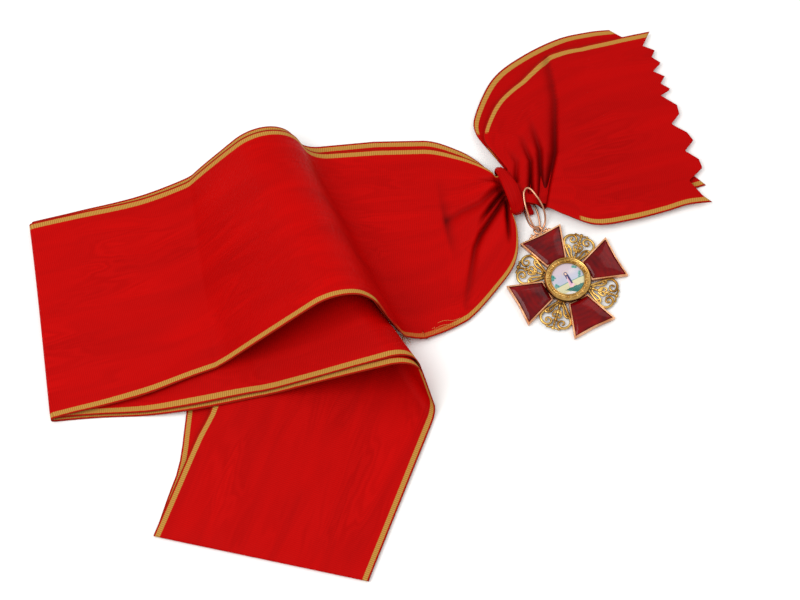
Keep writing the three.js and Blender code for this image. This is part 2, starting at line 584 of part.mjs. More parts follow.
// The cross, upright in its own frame: +Y toward the eyelet, z = 0 on its back
const ARM = {
  inner: RING.outer - 0.89, innerHalf: 5.19, outer: CROSS_SPAN / 2, outerHalf: 0.407 * CROSS_SPAN / 2,
  dip: 0.5, rim: 0.75, base: 0.4, plate: 1.3, height: 3.1,
};
const ENAMEL = { gap: 0.3, bevel: 1.4, crown: 0.45, depth: 0.7 };
const EYELET = { out: 2.2, z: 2.5, radius: 1.85, wire: 0.55 };
function armOutline(inset, shape) {
  const grow = inset * 1.05;
  const slantX = (ARM.outerHalf - ARM.innerHalf) / (ARM.outer - ARM.inner);
  const y1 = ARM.inner + inset;
  const y2 = ARM.outer - inset;
  const x1 = ARM.innerHalf + inset * slantX - grow;
  const x2 = ARM.outerHalf - inset * slantX - grow;
  shape.moveTo(-x1, y1);
  shape.lineTo(x1, y1);
  shape.lineTo(x2, y2);
  shape.lineTo(0, y2 - ARM.dip);
  shape.lineTo(-x2, y2);
  shape.closePath();
  return shape;
}
function extruded(shape, z, depth) {
  const geometry = new THREE.ExtrudeGeometry(shape, { depth, bevelEnabled: false, curveSegments: 8 });
  geometry.translate(0, 0, z);
  return geometry;
}
function disc(radius, z, depth, sides) {
  const geometry = new THREE.CylinderGeometry(radius, radius, depth, sides);
  geometry.rotateX(Math.PI / 2);
  geometry.translate(0, 0, z + depth / 2);
  return geometry;
}
function bead(x, y, z, radius) {
  const geometry = new THREE.SphereGeometry(radius, 8, 5);
  geometry.translate(x, y, z);
  return geometry;
}

// Openwork between the arms: a strip of metal along a curve, out along the diagonal and across it, and
// beads. Places, widths and radii are shares of the way from the round middle to the span's end.
const LYRE_REACH = ARM.outer - ARM.inner;
const LYRE = {
  lobe: [
    [0, 0.054], [0.208, 0.22], [0.392, 0.387], [0.601, 0.447], [0.756, 0.351], [0.774, 0.197],
    [0.661, 0.107], [0.541, 0.155], [0.541, 0.274], [0.637, 0.28],
  ],
  stem: [[-0.02, 0], [0.828, 0]],
  brace: [[0.345, 0], [0.41, 0.107], [0.458, 0.173]],
  tip: { out: 0.839, across: 0, z: 1.7, radius: 0.0625 },
  root: { out: 0.244, across: 0, z: 2.3, radius: 0.0536 },
  curl: { out: 0.613, across: 0.28, z: 2, radius: 0.0506 },
  half: 0.0286 * LYRE_REACH, depth: 1.7, from: 0.7,
};
const lyrePlace = (out, across) => [ARM.inner + out * LYRE_REACH, across * LYRE_REACH];
const lyreBead = ({ out, across, z, radius }) => bead(...lyrePlace(out, across), z, radius * LYRE_REACH);
function strip(places, half, steps) {
  const points = places.map(([out, across]) => new THREE.Vector2(...lyrePlace(out, across)));
  const curve = new THREE.SplineCurve(points);
  const left = [];
  const right = [];
  for (let i = 0; i <= steps; i += 1) {
    const p = curve.getPoint(i / steps);
    const tangent = curve.getTangent(i / steps);
    left.push(new THREE.Vector2(p.x - tangent.y * half, p.y + tangent.x * half));
    right.push(new THREE.Vector2(p.x + tangent.y * half, p.y - tangent.x * half));
  }
  return new THREE.Shape([...left, ...right.reverse()]);
}
function crossFrame() {
  const boss = disc(RING.outer - 0.5, ARM.base, ARM.height - ARM.base, 30);
  const back = disc(RING.outer - 2.9, 0, 2 * ARM.base, 24);
  const parts = [boss, back];
  for (let k = 0; k < 4; k += 1) {
    const arm = [
      extruded(armOutline(0, new THREE.Shape()), ARM.base, ARM.plate - ARM.base),
      (() => {
        const wall = armOutline(0, new THREE.Shape());
        wall.holes.push(armOutline(ARM.rim, new THREE.Path()));
        return extruded(wall, ARM.base + 0.1, ARM.height - ARM.base - 0.1);
      })(),
    ];
    const lyre = [
      extruded(strip(LYRE.lobe, LYRE.half, 15), LYRE.from, LYRE.depth),
      extruded(strip(LYRE.stem, LYRE.half, 1), LYRE.from, LYRE.depth),
      extruded(strip(LYRE.brace, LYRE.half, 2), LYRE.from, LYRE.depth),
      lyreBead(LYRE.tip), lyreBead(LYRE.root), lyreBead(LYRE.curl),
    ];
    const mirrored = [0, 2, 5].map((i) => {
      const copy = lyre[i].clone().scale(1, -1, 1);
      const index = copy.index;
      if (index) for (let n = 0; n < index.count; n += 3) {
        const first = index.getX(n);
        index.setX(n, index.getX(n + 1));
        index.setX(n + 1, first);
      } else {
        const position = copy.attributes.position;
        for (let n = 0; n < position.count; n += 3) {
          const a = vec(0, 0, 0).fromBufferAttribute(position, n);
          const b = vec(0, 0, 0).fromBufferAttribute(position, n + 1);
          position.setXYZ(n, b.x, b.y, b.z);
          position.setXYZ(n + 1, a.x, a.y, a.z);
        }
      }
      return copy;
    });
    for (const piece of arm) parts.push(piece.rotateZ(k * Math.PI / 2));
    for (const piece of [...lyre, ...mirrored]) parts.push(piece.rotateZ(Math.PI / 4 + k * Math.PI / 2));
  }
  const eyelet = new THREE.TorusGeometry(EYELET.radius, EYELET.wire, 6, 16);
  parts.push(eyelet.translate(0, ARM.outer + EYELET.out, EYELET.z));
  parts.push(extruded(new THREE.Shape([
    new THREE.Vector2(-1, ARM.outer - 0.9), new THREE.Vector2(1, ARM.outer - 0.9),
    new THREE.Vector2(0.8, ARM.outer + 0.6), new THREE.Vector2(-0.8, ARM.outer + 0.6),
  ]), 1.4, 1.4));
  for (const side of [-1, 1]) {
    parts.push(bead(side * 3.4, ARM.outer + 0.15, 2.1, 1));
    parts.push(bead(side * 5.1, ARM.outer + 0.1, 2.1, 0.95));
  }
  return join(parts);
}
function enamelArm(k) {
  const shape = armOutline(ARM.rim + ENAMEL.gap + ENAMEL.bevel, new THREE.Shape());
  const geometry = new THREE.ExtrudeGeometry(shape, {
    depth: ENAMEL.depth, bevelEnabled: true, bevelSize: ENAMEL.bevel, bevelThickness: ENAMEL.crown,
    bevelSegments: 2, curveSegments: 1,
  });
  geometry.translate(0, 0, ARM.plate + ENAMEL.gap + ENAMEL.crown);
  return geometry.rotateZ(k * Math.PI / 2);
}

// The medallion: a chased gold ring round a slightly domed enamel disc
const MEDALLION_BASE = ARM.height + 0.4;
const turned = (profile, sides) => {
  const geometry = new THREE.LatheGeometry(profile.map(([r, z]) => new THREE.Vector2(r, z)), sides);
  return geometry.rotateX(Math.PI / 2);
};
function medallionRing() {
  const section = [[0, 0], [1, 0], [0.97, 0.5], [0.754, 0.867], [0.446, 1], [0.138, 0.867], [0, 0.633], [0, 0]];
  const geometry = turned(section.map(([out, up]) => [
    mix(RING.inner, RING.outer, out), MEDALLION_BASE + up * RING.height,
  ]), 36);
  const position = geometry.attributes.position;
  for (let i = 0; i < position.count; i += 1) {
    const p = vec(0, 0, 0).fromBufferAttribute(position, i);
    const ray = Math.round(Math.atan2(p.y, p.x) / (Math.PI / 18));
    const onTop = p.z > MEDALLION_BASE + 0.75 * RING.height;
    if (onTop && Math.abs(ray) % 2 === 1) position.setZ(i, p.z - 0.15 * RING.height);
  }
  return geometry;
}
function medallionDisc() {
  const section = [[0, 0], [1, 0], [1, 0.651], [0.846, 0.814], [0.564, 0.93], [0.282, 0.977], [0, 1]];
  const crown = 2.15;
  const radius = RING.inner - RING.gap;
  return turned(section.map(([out, up]) => [out * radius, MEDALLION_BASE + up * crown]), 28);
}

// Materials and the assembly
const silk = (hex) => new THREE.MeshStandardMaterial({ color: hex, roughness: 0.55, metalness: 0 });
const gold = (hex) => new THREE.MeshStandardMaterial({ color: hex, roughness: 0.3, metalness: 1 });
const enamel = (hex) => new THREE.MeshStandardMaterial({ color: hex, roughness: 0.12, metalness: 0 });
const sash = new THREE.Group();
function add(name, geometry, material, parent = sash) {
  const mesh = new THREE.Mesh(geometry, material);
  mesh.name = name;
  parent.add(mesh);
}
add("sash_loop", sashLoop(), silk(0xc4060a));
add("front_tail", tail(FRONT_FAN, FRONT_CREASES, FRONT_TEETH, 15), silk(0xc80609));
add("rear_tail", tail(REAR_FAN, [], REAR_TEETH, 12), silk(0xbe0609));
add("knot_cuff", knotCuff(), silk(0xb80508));
add("badge_strap", badgeStrap(), silk(0xa80508));
add("bail", bail(), gold(0xc48a70));

// The badge hangs from the suspension loop: its eyelet lies where the two ovals are joined.
const BADGE_TURN = 27.6;
const badge = new THREE.Group();
const eyeletPlace = knotPlace(FRONT_OVAL[0]);
const hang = vec(0, ARM.outer + EYELET.out, 0).applyAxisAngle(vec(0, 0, 1), rad(BADGE_TURN));
badge.position.set(eyeletPlace.x - hang.x, eyeletPlace.y - hang.y, 0);
badge.rotation.z = rad(BADGE_TURN);
add("cross_frame", crossFrame(), gold(0xb98a3e), badge);
for (let k = 0; k < 4; k += 1) add(`enamel_arm_${k + 1}`, enamelArm(k), enamel(0x5e0d10), badge);
add("medallion_ring", medallionRing(), gold(0xd0a24c), badge);
add("medallion_enamel", medallionDisc(), enamel(0xc9c4d8), badge);
sash.add(badge);

// Origin: the middle of the base of the box round the whole sash
const box = new THREE.Box3().setFromObject(sash);
const middle = box.getCenter(vec(0, 0, 0));
sash.position.set(-middle.x, -middle.y, -box.min.z);

export default sash;
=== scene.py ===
from math import cos, pi, radians, sin

import bpy
import numpy as np
from mathutils import Matrix, Vector


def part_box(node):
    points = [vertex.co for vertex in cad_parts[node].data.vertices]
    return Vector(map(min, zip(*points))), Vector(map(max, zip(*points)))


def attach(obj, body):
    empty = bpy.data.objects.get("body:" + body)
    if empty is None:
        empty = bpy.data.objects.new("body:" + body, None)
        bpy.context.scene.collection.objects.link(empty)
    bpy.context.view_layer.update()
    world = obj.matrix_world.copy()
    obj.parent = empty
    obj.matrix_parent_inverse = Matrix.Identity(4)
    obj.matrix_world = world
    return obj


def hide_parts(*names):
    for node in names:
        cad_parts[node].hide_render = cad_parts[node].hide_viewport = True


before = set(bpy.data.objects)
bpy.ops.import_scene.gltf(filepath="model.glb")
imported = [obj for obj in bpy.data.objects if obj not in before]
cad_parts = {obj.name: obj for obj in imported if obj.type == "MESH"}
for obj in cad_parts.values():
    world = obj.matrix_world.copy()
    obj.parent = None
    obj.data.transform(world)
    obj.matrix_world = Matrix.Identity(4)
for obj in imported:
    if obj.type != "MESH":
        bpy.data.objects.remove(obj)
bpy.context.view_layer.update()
MM = 0.001

# The long loop of the sash: one doubled silk ribbon, woven with a yellow stripe near each edge and
# calendered to a watered finish. It leaves the gathered neck, humps over itself, turns back at the
# left fold, rolls, and runs down to its far end. It is cloth, so its mesh comes from the lie itself.
# In mm: the ribbon's width, its cloth, how far each layer lies from the middle of the doubled band, and
# that middle's height on the floor and above a run that it lies on
BAND = 101.0
HALF = BAND / 2
CLOTH = 0.42
LAYER_OFF = 0.7
BED = 1.2
STACK = 2.8
# The left fold and the heading of the run that leaves it, and the neck with its own heading
FOLD_PLACE = (-173.2, -11.2)
HEADING = 17.56
KNOT_PLACE = (52.5, 54.1)
KNOT_HEADING = 20.0
# The eyelet and the badge's middle, in the knot's frame
EYELET_IN_KNOT = (7.0, -22.8)
EYELET_REACH = 29.5
BADGE_TURN = 27.6
BADGE_TILT = radians(BADGE_TURN - KNOT_HEADING)
BADGE_IN_KNOT = (EYELET_IN_KNOT[0] + EYELET_REACH * sin(BADGE_TILT),
                 EYELET_IN_KNOT[1] - EYELET_REACH * cos(BADGE_TILT))


def from_knot(a, b, z=0.0):
    """Millimetres in the knot's frame to millimetres in the sash's own lie."""
    c, s = cos(radians(KNOT_HEADING)), sin(radians(KNOT_HEADING))
    return np.stack(np.broadcast_arrays(
        KNOT_PLACE[0] + a * c - b * s, KNOT_PLACE[1] + a * s + b * c, z), -1).astype(float)


# The lie's origin is found from the medallion, whose place in the knot's frame is known.
low, high = (np.array(corner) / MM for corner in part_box("medallion_enamel"))
LIE_SHIFT = (low + high) / 2 - from_knot(*BADGE_IN_KNOT)
LIE_SHIFT[2] = 0.0

# at: distance along the band in band widths, skew and turn in degrees, radius in mm
UPPER_BENDS = [
    {"at": 0.78, "skew": 9.56, "turn": 38.3, "radius": 7.2},
    {"at": 1.288, "skew": -9.61, "turn": -110.48, "radius": 18.07},
    {"at": 1.8025, "skew": -22.19, "turn": 73.21, "radius": 11.68},
]
LOWER_BENDS = [
    {"at": 0.0, "skew": 5.21, "turn": -180.0, "radius": 1.4},
    {"at": 0.896, "skew": 11.27, "turn": -24.36, "radius": 17.99},
    {"at": 1.452, "skew": 28.29, "turn": 117.17, "radius": 8.58},
    {"at": 1.751, "skew": 35.24, "turn": 86.29, "radius": 5.97},
]
# Where the two runs end: at the neck's fan and at the far end, as place and skew
FAN_START = (2.19, 4.0)
FAR_END = (3.092, -9.09)
# How far the under layer has slipped toward the far edge, in band widths
SLIP = {
    "run": [-2.6, -2.2, -1.8, -1, 0, 1, 1.75, 2.3, 2.45, 2.9, 3.1],
    "slip": [0.03, 0.052, 0.036, 0.028, 0.012, 0.018, 0.04, 0.16, 0.15, 0.015, 0],
}


def carry(place, normal, s, w, bend):
    """A flat strip's points and normals carried round one bend, after the later bends."""
    slant, angle = radians(bend["skew"]), abs(radians(bend["turn"]))
    side, radius = np.sign(bend["turn"]), bend["radius"]
    centre = np.array([bend["at"] * BAND, 0.0, 0.0])
    along = np.array([sin(slant), cos(slant), 0.0])
    ahead = np.array([cos(slant), -sin(slant), 0.0])
    d = (s - centre[0]) * cos(slant) - w * sin(slant)
    length = radius * angle
    off = place - centre
    v, beyond, height = off @ along, off @ ahead - length, place[:, 2]
    n_ahead, n_up, n_along = normal @ ahead, normal[:, 2], normal @ along
    f = np.clip(d / radius, 0, angle)
    rolled = d < length
    u = np.where(rolled, radius * np.sin(f),
                 radius * sin(angle) + beyond * cos(angle) - side * height * sin(angle))
    h = np.where(rolled, side * radius * (1 - np.cos(f)),
                 side * (radius * (1 - cos(angle)) + beyond * sin(angle)) + height * cos(angle))
    nu = np.where(rolled, -side * np.sin(f), n_ahead * cos(angle) - side * n_up * sin(angle))
    nh = np.where(rolled, np.cos(f), side * n_ahead * sin(angle) + n_up * cos(angle))
    nv = np.where(rolled, 0.0, n_along)
    moved = centre + u[:, None] * ahead + v[:, None] * along
    moved[:, 2] = h
    turned = nu[:, None] * ahead + nv[:, None] * along
    turned[:, 2] = nh
    here = (d > 0)[:, None]
    return np.where(here, moved, place), np.where(here, turned, normal)


# The left fold's far corner is pulled in, and the edges dip beside it: how far, the dip's middle from
# the fold, and the length over which it fades, in mm
FOLD_FOOT = -58.0
FOLD_PULL = {"by": 7.5, "fade": 40.0}
FAR_DIP = {"by": 5.5, "place": 52.0, "fade": 32.0}
NEAR_DIP = {"by": 3.5, "place": 72.0, "fade": 36.0, "edge": -55.0, "edge_fade": 9.0}


def settle(p):
    """Pulls in the corner and lets the edges dip, with every layer that lies there."""
    across = np.clip((p[:, 1] - FOLD_FOOT) / BAND, 0, 1)
    p[:, 0] += FOLD_PULL["by"] * np.exp(-(((p[:, 0] - FOLD_PLACE[0]) / FOLD_PULL["fade"]) ** 2)) * across
    out = p[:, 0] - FOLD_PLACE[0]
    far = FAR_DIP["by"] * across * np.exp(-(((out - FAR_DIP["place"]) / FAR_DIP["fade"]) ** 2))
    by_edge = ((p[:, 1] - NEAR_DIP["edge"]) / NEAR_DIP["edge_fade"]) ** 2
    near = NEAR_DIP["by"] * np.exp(-(((out - NEAR_DIP["place"]) / NEAR_DIP["fade"]) ** 2) - by_edge)
    p[:, 1] -= far + near
    return p


# The lowest run's left edge, which the runs above climb over: place of its near end, its lean to the
# right for each millimetre away, and the width and softness of the climb
RIDGE = {"x": -101.49, "y": -56.96, "lean": 0.4, "width": 28.0, "soft": 0.8}


def climb(p, base):
    """Heights of a run that lies at base, raised where it goes up over the lowest run."""
    edge = RIDGE["x"] + (p[:, 1] - RIDGE["y"]) * RIDGE["lean"]
    share = np.clip((p[:, 0] - edge + RIDGE["width"]) / RIDGE["width"], 0, 1)
    soft = RIDGE["soft"]
    target = base - soft + (STACK + soft) * share * share * (3 - 2 * share)
    h = np.clip(0.5 + (target - p[:, 2]) / (2 * soft), 0, 1)
    return p[:, 2] * (1 - h) + target * h + soft * h * (1 - h)


# How far the loop's near edge stands out beside the roll, where it is tucked against it, in mm
NEAR_EDGE = {"run": [1.6, 1.82, 1.95, 2.08, 2.4], "out": [0, 3.0, 1.8, -1.5, -1.5]}
# The stretch of a run in which it may climb, in mm from the left fold
CLIMBING = (0.3 * BAND, 1.35 * BAND)


def band_points(run, s, w):
    """Middle surface of the doubled band, and its normal: run is "upper" or "lower"."""
    upper = run == "upper"
    if upper:
        w = w - np.interp(s / BAND, NEAR_EDGE["run"], NEAR_EDGE["out"]) * np.clip(-w / HALF, 0, 1) ** 3
    bends, heading, side = (UPPER_BENDS, HEADING, 1) if upper else (LOWER_BENDS, HEADING + 180, -1)
    place = np.stack([s, side * w, 0 * s], -1)
    normal = np.tile([0.0, 0.0, 1.0], (len(s), 1))
    for bend in reversed(bends):
        place, normal = carry(place, normal, s, side * w, bend)
    c, sn = cos(radians(heading)), sin(radians(heading))
    turn = np.array([[c, sn, 0], [-sn, c, 0], [0, 0, 1]])
    place = settle(place @ turn + [FOLD_PLACE[0], FOLD_PLACE[1], BED + STACK])
    climbing = (s > CLIMBING[0]) & (s < CLIMBING[1])
    place[:, 2] = np.where(climbing, climb(place, BED + STACK if upper else BED), place[:, 2])
    return place, normal @ turn


def slip_at(run_mm):
    """The under layer's slip at a place along the band: the table's rows, eased between."""
    share = run_mm / BAND
    k = int(np.clip(np.searchsorted(SLIP["run"], share), 1, len(SLIP["run"]) - 1))
    a, b = SLIP["run"][k - 1], SLIP["run"][k]
    t = float(np.clip((share - a) / (b - a), 0, 1))
    t = t * t * (3 - 2 * t)
    return BAND * (SLIP["slip"][k - 1] * (1 - t) + SLIP["slip"][k] * t)


def stations(bends, end, counts, gap):
    """Rulings from the left fold outwards: close together round each bend, gap mm apart between."""
    found = []
    for bend, count in zip(bends, counts):
        start = bend["at"] * BAND
        length = bend["radius"] * radians(abs(bend["turn"])) / cos(radians(bend["skew"]))
        if found:
            at, skew = found[-1]
            steps = max(int((start - at) / gap), 2)
            found += [(at + (start - at) * i / steps, skew + (bend["skew"] - skew) * i / steps)
                      for i in range(1, steps)]
        found += [(start + length * i / count, bend["skew"]) for i in range(count + 1)]
    at, skew = found[-1]
    steps = max(int((end[0] * BAND - at) / gap), 2)
    found += [(at + (end[0] * BAND - at) * i / steps, skew + (end[1] - skew) * i / steps)
              for i in range(1, steps + 1)]
    return found


# Sections of the fan at the neck, in the knot's frame and in band widths: far, middle and near point
# across the cloth (a along the neck, b across it, z up)
LOOP_FAN = [
    (-0.155, 0.268, 0.022, -0.312, -0.1, 0.026, -0.42, -0.545, 0.013),
    (-0.09, 0.2, 0.036, -0.2, -0.07, 0.05, -0.205, -0.432, 0.016),
    (-0.058, 0.15, 0.05, -0.115, -0.045, 0.074, -0.088, -0.34, 0.026),
    (-0.04, 0.115, 0.062, -0.062, -0.02, 0.08, -0.03, -0.21, 0.042),
    (-0.03, 0.09, 0.064, -0.034, 0, 0.072, -0.018, -0.09, 0.068),
    (0.004, 0.086, 0.065, 0.004, 0, 0.068, 0.004, -0.086, 0.065),
]
# Creases out of the neck. line: places in band widths, deep: mm at each place, wide: how far the
# cloth falls away on the left and on the right of the line, in mm
LOOP_CREASES = [
    {"line": [(-0.284, 0.219), (-0.317, 0.073), (-0.333, -0.023), (-0.348, -0.117), (-0.36, -0.238)],
     "deep": (0, 0.8, 2.0, 1.4, 0), "wide": (3.0, 1.0)},
    {"line": [(-0.327, -0.03), (-0.249, -0.014), (-0.148, -0.014), (-0.071, 0.019), (-0.02, 0.034)],
     "deep": (1.4, 1.3, 1.4, 2.6, 3.0), "wide": (1.5, 2.6)},
    {"line": [(-0.02, 0.006), (-0.102, -0.045), (-0.16, -0.084), (-0.202, -0.127)],
     "deep": (4.0, 4.8, 2.0, 0), "wide": (1.5, 1.1)},
    {"line": [(-0.02, -0.02), (-0.083, -0.068), (-0.201, -0.154), (-0.25, -0.208), (-0.309, -0.311),
              (-0.396, -0.466)], "deep": (3.6, 3.8, 3.2, 2.4, 2.0, 1.0), "wide": (2.2, 0.9)},
    {"line": [(-0.02, -0.042), (-0.05, -0.12), (-0.072, -0.2), (-0.09, -0.26)],
     "deep": (3.4, 3.6, 2.2, 0), "wide": (1.3, 1.1)},
    {"line": [(-0.02, 0.06), (-0.07, 0.085), (-0.14, 0.13)], "deep": (2.2, 1.2, 0), "wide": (1.4, 1.4)},
]


def through(values, f):
    """Smooth curve through a row of numbers, at places f."""
    values = np.asarray(values, float)
    last = len(values) - 1
    i = np.minimum(np.floor(f).astype(int), last - 1)
    t = f - i
    p1, p2 = values[i], values[i + 1]
    m1 = (p2 - values[np.maximum(i - 1, 0)]) / 2
    m2 = (values[np.minimum(i + 2, last)] - p1) / 2
    return ((2 * t**3 - 3 * t**2 + 1) * p1 + (t**3 - 2 * t**2 + t) * m1
            + (3 * t**2 - 2 * t**3) * p2 + (t**3 - t**2) * m2)


def creased(creases, a, b):
    """How deep the creases are, in mm, at places in the knot's frame."""
    total = np.zeros_like(a)
    for crease in creases:
        line = np.array(crease["line"]) * BAND
        nearest, depth = np.full_like(a, np.inf), np.zeros_like(a)
        for k, (start, end) in enumerate(zip(line, line[1:])):
            run = end - start
            off_a, off_b = a - start[0], b - start[1]
            t = np.clip((off_a * run[0] + off_b * run[1]) / (run @ run), 0, 1)
            away = np.hypot(off_a - t * run[0], off_b - t * run[1])
            wide = np.where(run[0] * off_b - run[1] * off_a > 0, *crease["wide"])
            here = (crease["deep"][k] * (1 - t) + crease["deep"][k + 1] * t) * np.exp(-((away / wide) ** 2))
            depth = np.where(away < nearest, here, depth)
            nearest = np.minimum(nearest, away)
        total += depth
    return total


# How softly a fan's cloth comes to rest on what is under it, how far above that it is left alone, and
# the depth of a crease that no light gets into, in mm
REST_SOFT = 0.3
CLEAR = 2.0
DIM_DEPTH = 3.2


def fan_grid(sections, creases, f, v, floor):
    """A fan's points for arrays f (along its sections) and v (1 far edge, -1 near edge), and how dim
    the light is at each, from 0 to 1."""
    keys = [through([row[k] for row in sections], f) * BAND for k in range(9)]

    def bow(k):
        far, mid, near = keys[k], keys[3 + k], keys[6 + k]
        return mid + (far - near) * v / 2 + ((far + near) / 2 - mid) * v * v

    a, b, z = bow(0), bow(1), bow(2)
    deep = creased(creases, a, b)
    z = z - deep
    resting = 0.5 * (z + floor + np.sqrt((z - floor) ** 2 + REST_SOFT**2))
    return from_knot(a, b, np.where(z > floor + CLEAR, z, resting)), np.clip(deep / DIM_DEPTH, 0, 1)


# Wavelengths along and across the ribbon and height, in mm, of the waves that make it uneven
RIPPLES = [(61, 83, 0.14), (37, 49, 0.09), (23, 90, 0.06), (90, 17, 0.05)]


def ripple(u, w, seed):
    """Slow unevenness of cloth that has been rolled up and laid out, in mm."""
    total = np.zeros_like(u)
    for k, (wave_u, wave_w, high) in enumerate(RIPPLES):
        phase = seed * 1.7 + k * 2.3
        across = np.sin(2 * pi * w / wave_w + 1.3 * phase + u / 70)
        total += high * np.sin(2 * pi * u / wave_u + phase) * across
    return total


def knot_section(at, skew):
    """A cross line of the upper run, as a section of the neck's fan."""
    w = np.array([HALF, 0.0, -HALF])
    p, _ = band_points("upper", at * BAND + w * np.tan(radians(skew)), w)
    c, s = cos(radians(KNOT_HEADING)), sin(radians(KNOT_HEADING))
    x, y = p[:, 0] - KNOT_PLACE[0], p[:, 1] - KNOT_PLACE[1]
    return tuple(np.stack([(x * c + y * s), (y * c - x * s), p[:, 2]], -1).ravel() / BAND)


# The upper run's last two cross lines are the fan's first two sections, so many band widths apart
FAN_LEAD = 0.14
loop_sections = [knot_section(FAN_START[0] - FAN_LEAD, 0), knot_section(*FAN_START)] + LOOP_FAN
LAST = len(loop_sections) - 1
# The mesh's rows: across the ribbon, along the fan, from the left fold to the first bend, round each
# bend, and how many mm apart between the bends
ROWS = 80
FAN_STEPS = 96
LEAD_STEPS = 20
UPPER_STEPS = [8, 22, 14]
LOWER_STEPS = [12, 8, 22, 16]
RULING_GAP = 5.5
v_rows = np.linspace(-1, 1, ROWS + 1)
upper_run = stations(UPPER_BENDS, FAN_START, UPPER_STEPS, RULING_GAP)
fold_skew, (first_at, first_skew) = LOWER_BENDS[0]["skew"], upper_run[0]
upper_run = [(first_at * i / LEAD_STEPS, fold_skew + (first_skew - fold_skew) * i / LEAD_STEPS)
             for i in range(LEAD_STEPS)] + upper_run
lower_run = stations(LOWER_BENDS, FAR_END, LOWER_STEPS, RULING_GAP)
# In the fan the under layer has the slip of this place, in band widths, and none in the sections that
# the neck holds
FAN_SLIP_AT = -2.3
HELD = 1.5
# The left fold is pressed flat for so many mm
PRESSED = 12.0
# The seam between fan and run is eased over rows before and after it, in rounds
SEAM = {"before": 16, "after": 2, "rounds": 50}


def ease_seam(points, first, last, rounds):
    """Round off the bend between two parts of a grid: points move toward their neighbours' chord."""
    for _ in range(rounds):
        ahead = np.linalg.norm(points[first + 1:last + 1] - points[first:last], axis=2, keepdims=True)
        behind = np.linalg.norm(points[first:last] - points[first - 1:last - 1], axis=2, keepdims=True)
        chord = (points[first - 1:last - 1] * ahead + points[first + 1:last + 1] * behind) / (ahead + behind)
        points[first:last] += 0.5 * (chord - points[first:last])


def loop_layer(layer):
    """Points, lay and dimness of one layer, from the neck round to the far end."""
    f, v = np.meshgrid(np.linspace(LAST, 1, FAN_STEPS, endpoint=False), v_rows, indexing="ij")
    fade = np.clip((LAST - f - HELD) / (LAST - 1 - HELD), 0, 1)
    fade = fade * fade * (3 - 2 * fade)
    slid = v + (slip_at(FAN_SLIP_AT * BAND) * fade / HALF if layer < 0 else 0)
    fan, dim = fan_grid(loop_sections, LOOP_CREASES, f, slid, BED)
    start_w = v_rows * HALF + (slip_at(-FAN_START[0] * BAND) if layer < 0 else 0)
    start_s = FAN_START[0] * BAND + start_w * np.tan(radians(FAN_START[1]))
    edge, _ = band_points("upper", start_s, start_w)
    steps = np.linalg.norm(np.diff(np.concatenate([fan, edge[None]]), axis=0), axis=2)
    ahead = np.cumsum(steps[::-1], axis=0)[::-1]
    fan[..., 2] += layer * LAYER_OFF
    points = list(fan)
    lay = [np.stack([-(start_s + row), v_rows * HALF], -1) for row in ahead]
    for run, side, table in (("upper", 1, upper_run[::-1]), ("lower", -1, lower_run)):
        for at, skew in table:
            w = v_rows * HALF + (slip_at(-side * at) if layer < 0 else 0)
            s = at + side * w * np.tan(radians(skew))
            p, n = band_points(run, s, w)
            u = -side * s
            uneven = ripple(u, w, 1.0) if abs(at) > PRESSED else np.zeros_like(u)
            points.append(p + n * (layer * LAYER_OFF + uneven[:, None]))
            lay.append(np.stack([u, v_rows * HALF], -1))
    points = np.array(points)
    ease_seam(points, len(fan) - SEAM["before"], len(fan) + SEAM["after"], SEAM["rounds"])
    return points, np.array(lay), np.concatenate([dim, np.zeros((len(points) - len(fan), ROWS + 1))])


def deselect():
    if bpy.context.mode != "OBJECT":
        bpy.ops.object.mode_set(mode="OBJECT")
    bpy.ops.object.select_all(action="DESELECT")


def make_active(piece):
    deselect()
    piece.select_set(True)
    bpy.context.view_layer.objects.active = piece


def silk_mesh(name, points, lay, thick=CLOTH, bare=None, ring=False, dim=None):
    """A cloth sheet as a grid, with its weave's own coordinates kept on its points, made solid. bare is
    1 where no stripe shows, and dim is 1 where no light gets in."""
    n, m = points.shape[:2]
    index = np.arange(n * m).reshape(n, m)
    if ring:
        index = np.concatenate([index, index[:1]])
    quads = np.stack([index[:-1, :-1], index[:-1, 1:], index[1:, 1:], index[1:, :-1]], -1).reshape(-1, 4)
    mesh = bpy.data.meshes.new(name)
    mesh.from_pydata(((points.reshape(-1, 3) + LIE_SHIFT) * MM).tolist(), [], quads.tolist())
    mesh.update()
    plain = np.zeros((n, m))
    third = plain if bare is None else bare
    kept = mesh.attributes.new("lay", "FLOAT_VECTOR", "POINT")
    kept.data.foreach_set("vector", np.concatenate([lay, third[..., None]], -1).astype(np.float32).ravel())
    shade = mesh.attributes.new("dim", "FLOAT", "POINT")
    shade.data.foreach_set("value", (plain if dim is None else dim).astype(np.float32).ravel())
    piece = bpy.data.objects.new(name, mesh)
    bpy.context.collection.objects.link(piece)
    make_active(piece)
    bpy.ops.object.shade_smooth()
    wall = piece.modifiers.new("wall", "SOLIDIFY")
    wall.thickness = thick * MM
    wall.offset = 0
    bpy.ops.object.modifier_apply(modifier="wall")
    return piece


top, top_lay, top_dim = loop_layer(1)
under, under_lay, under_dim = loop_layer(-1)
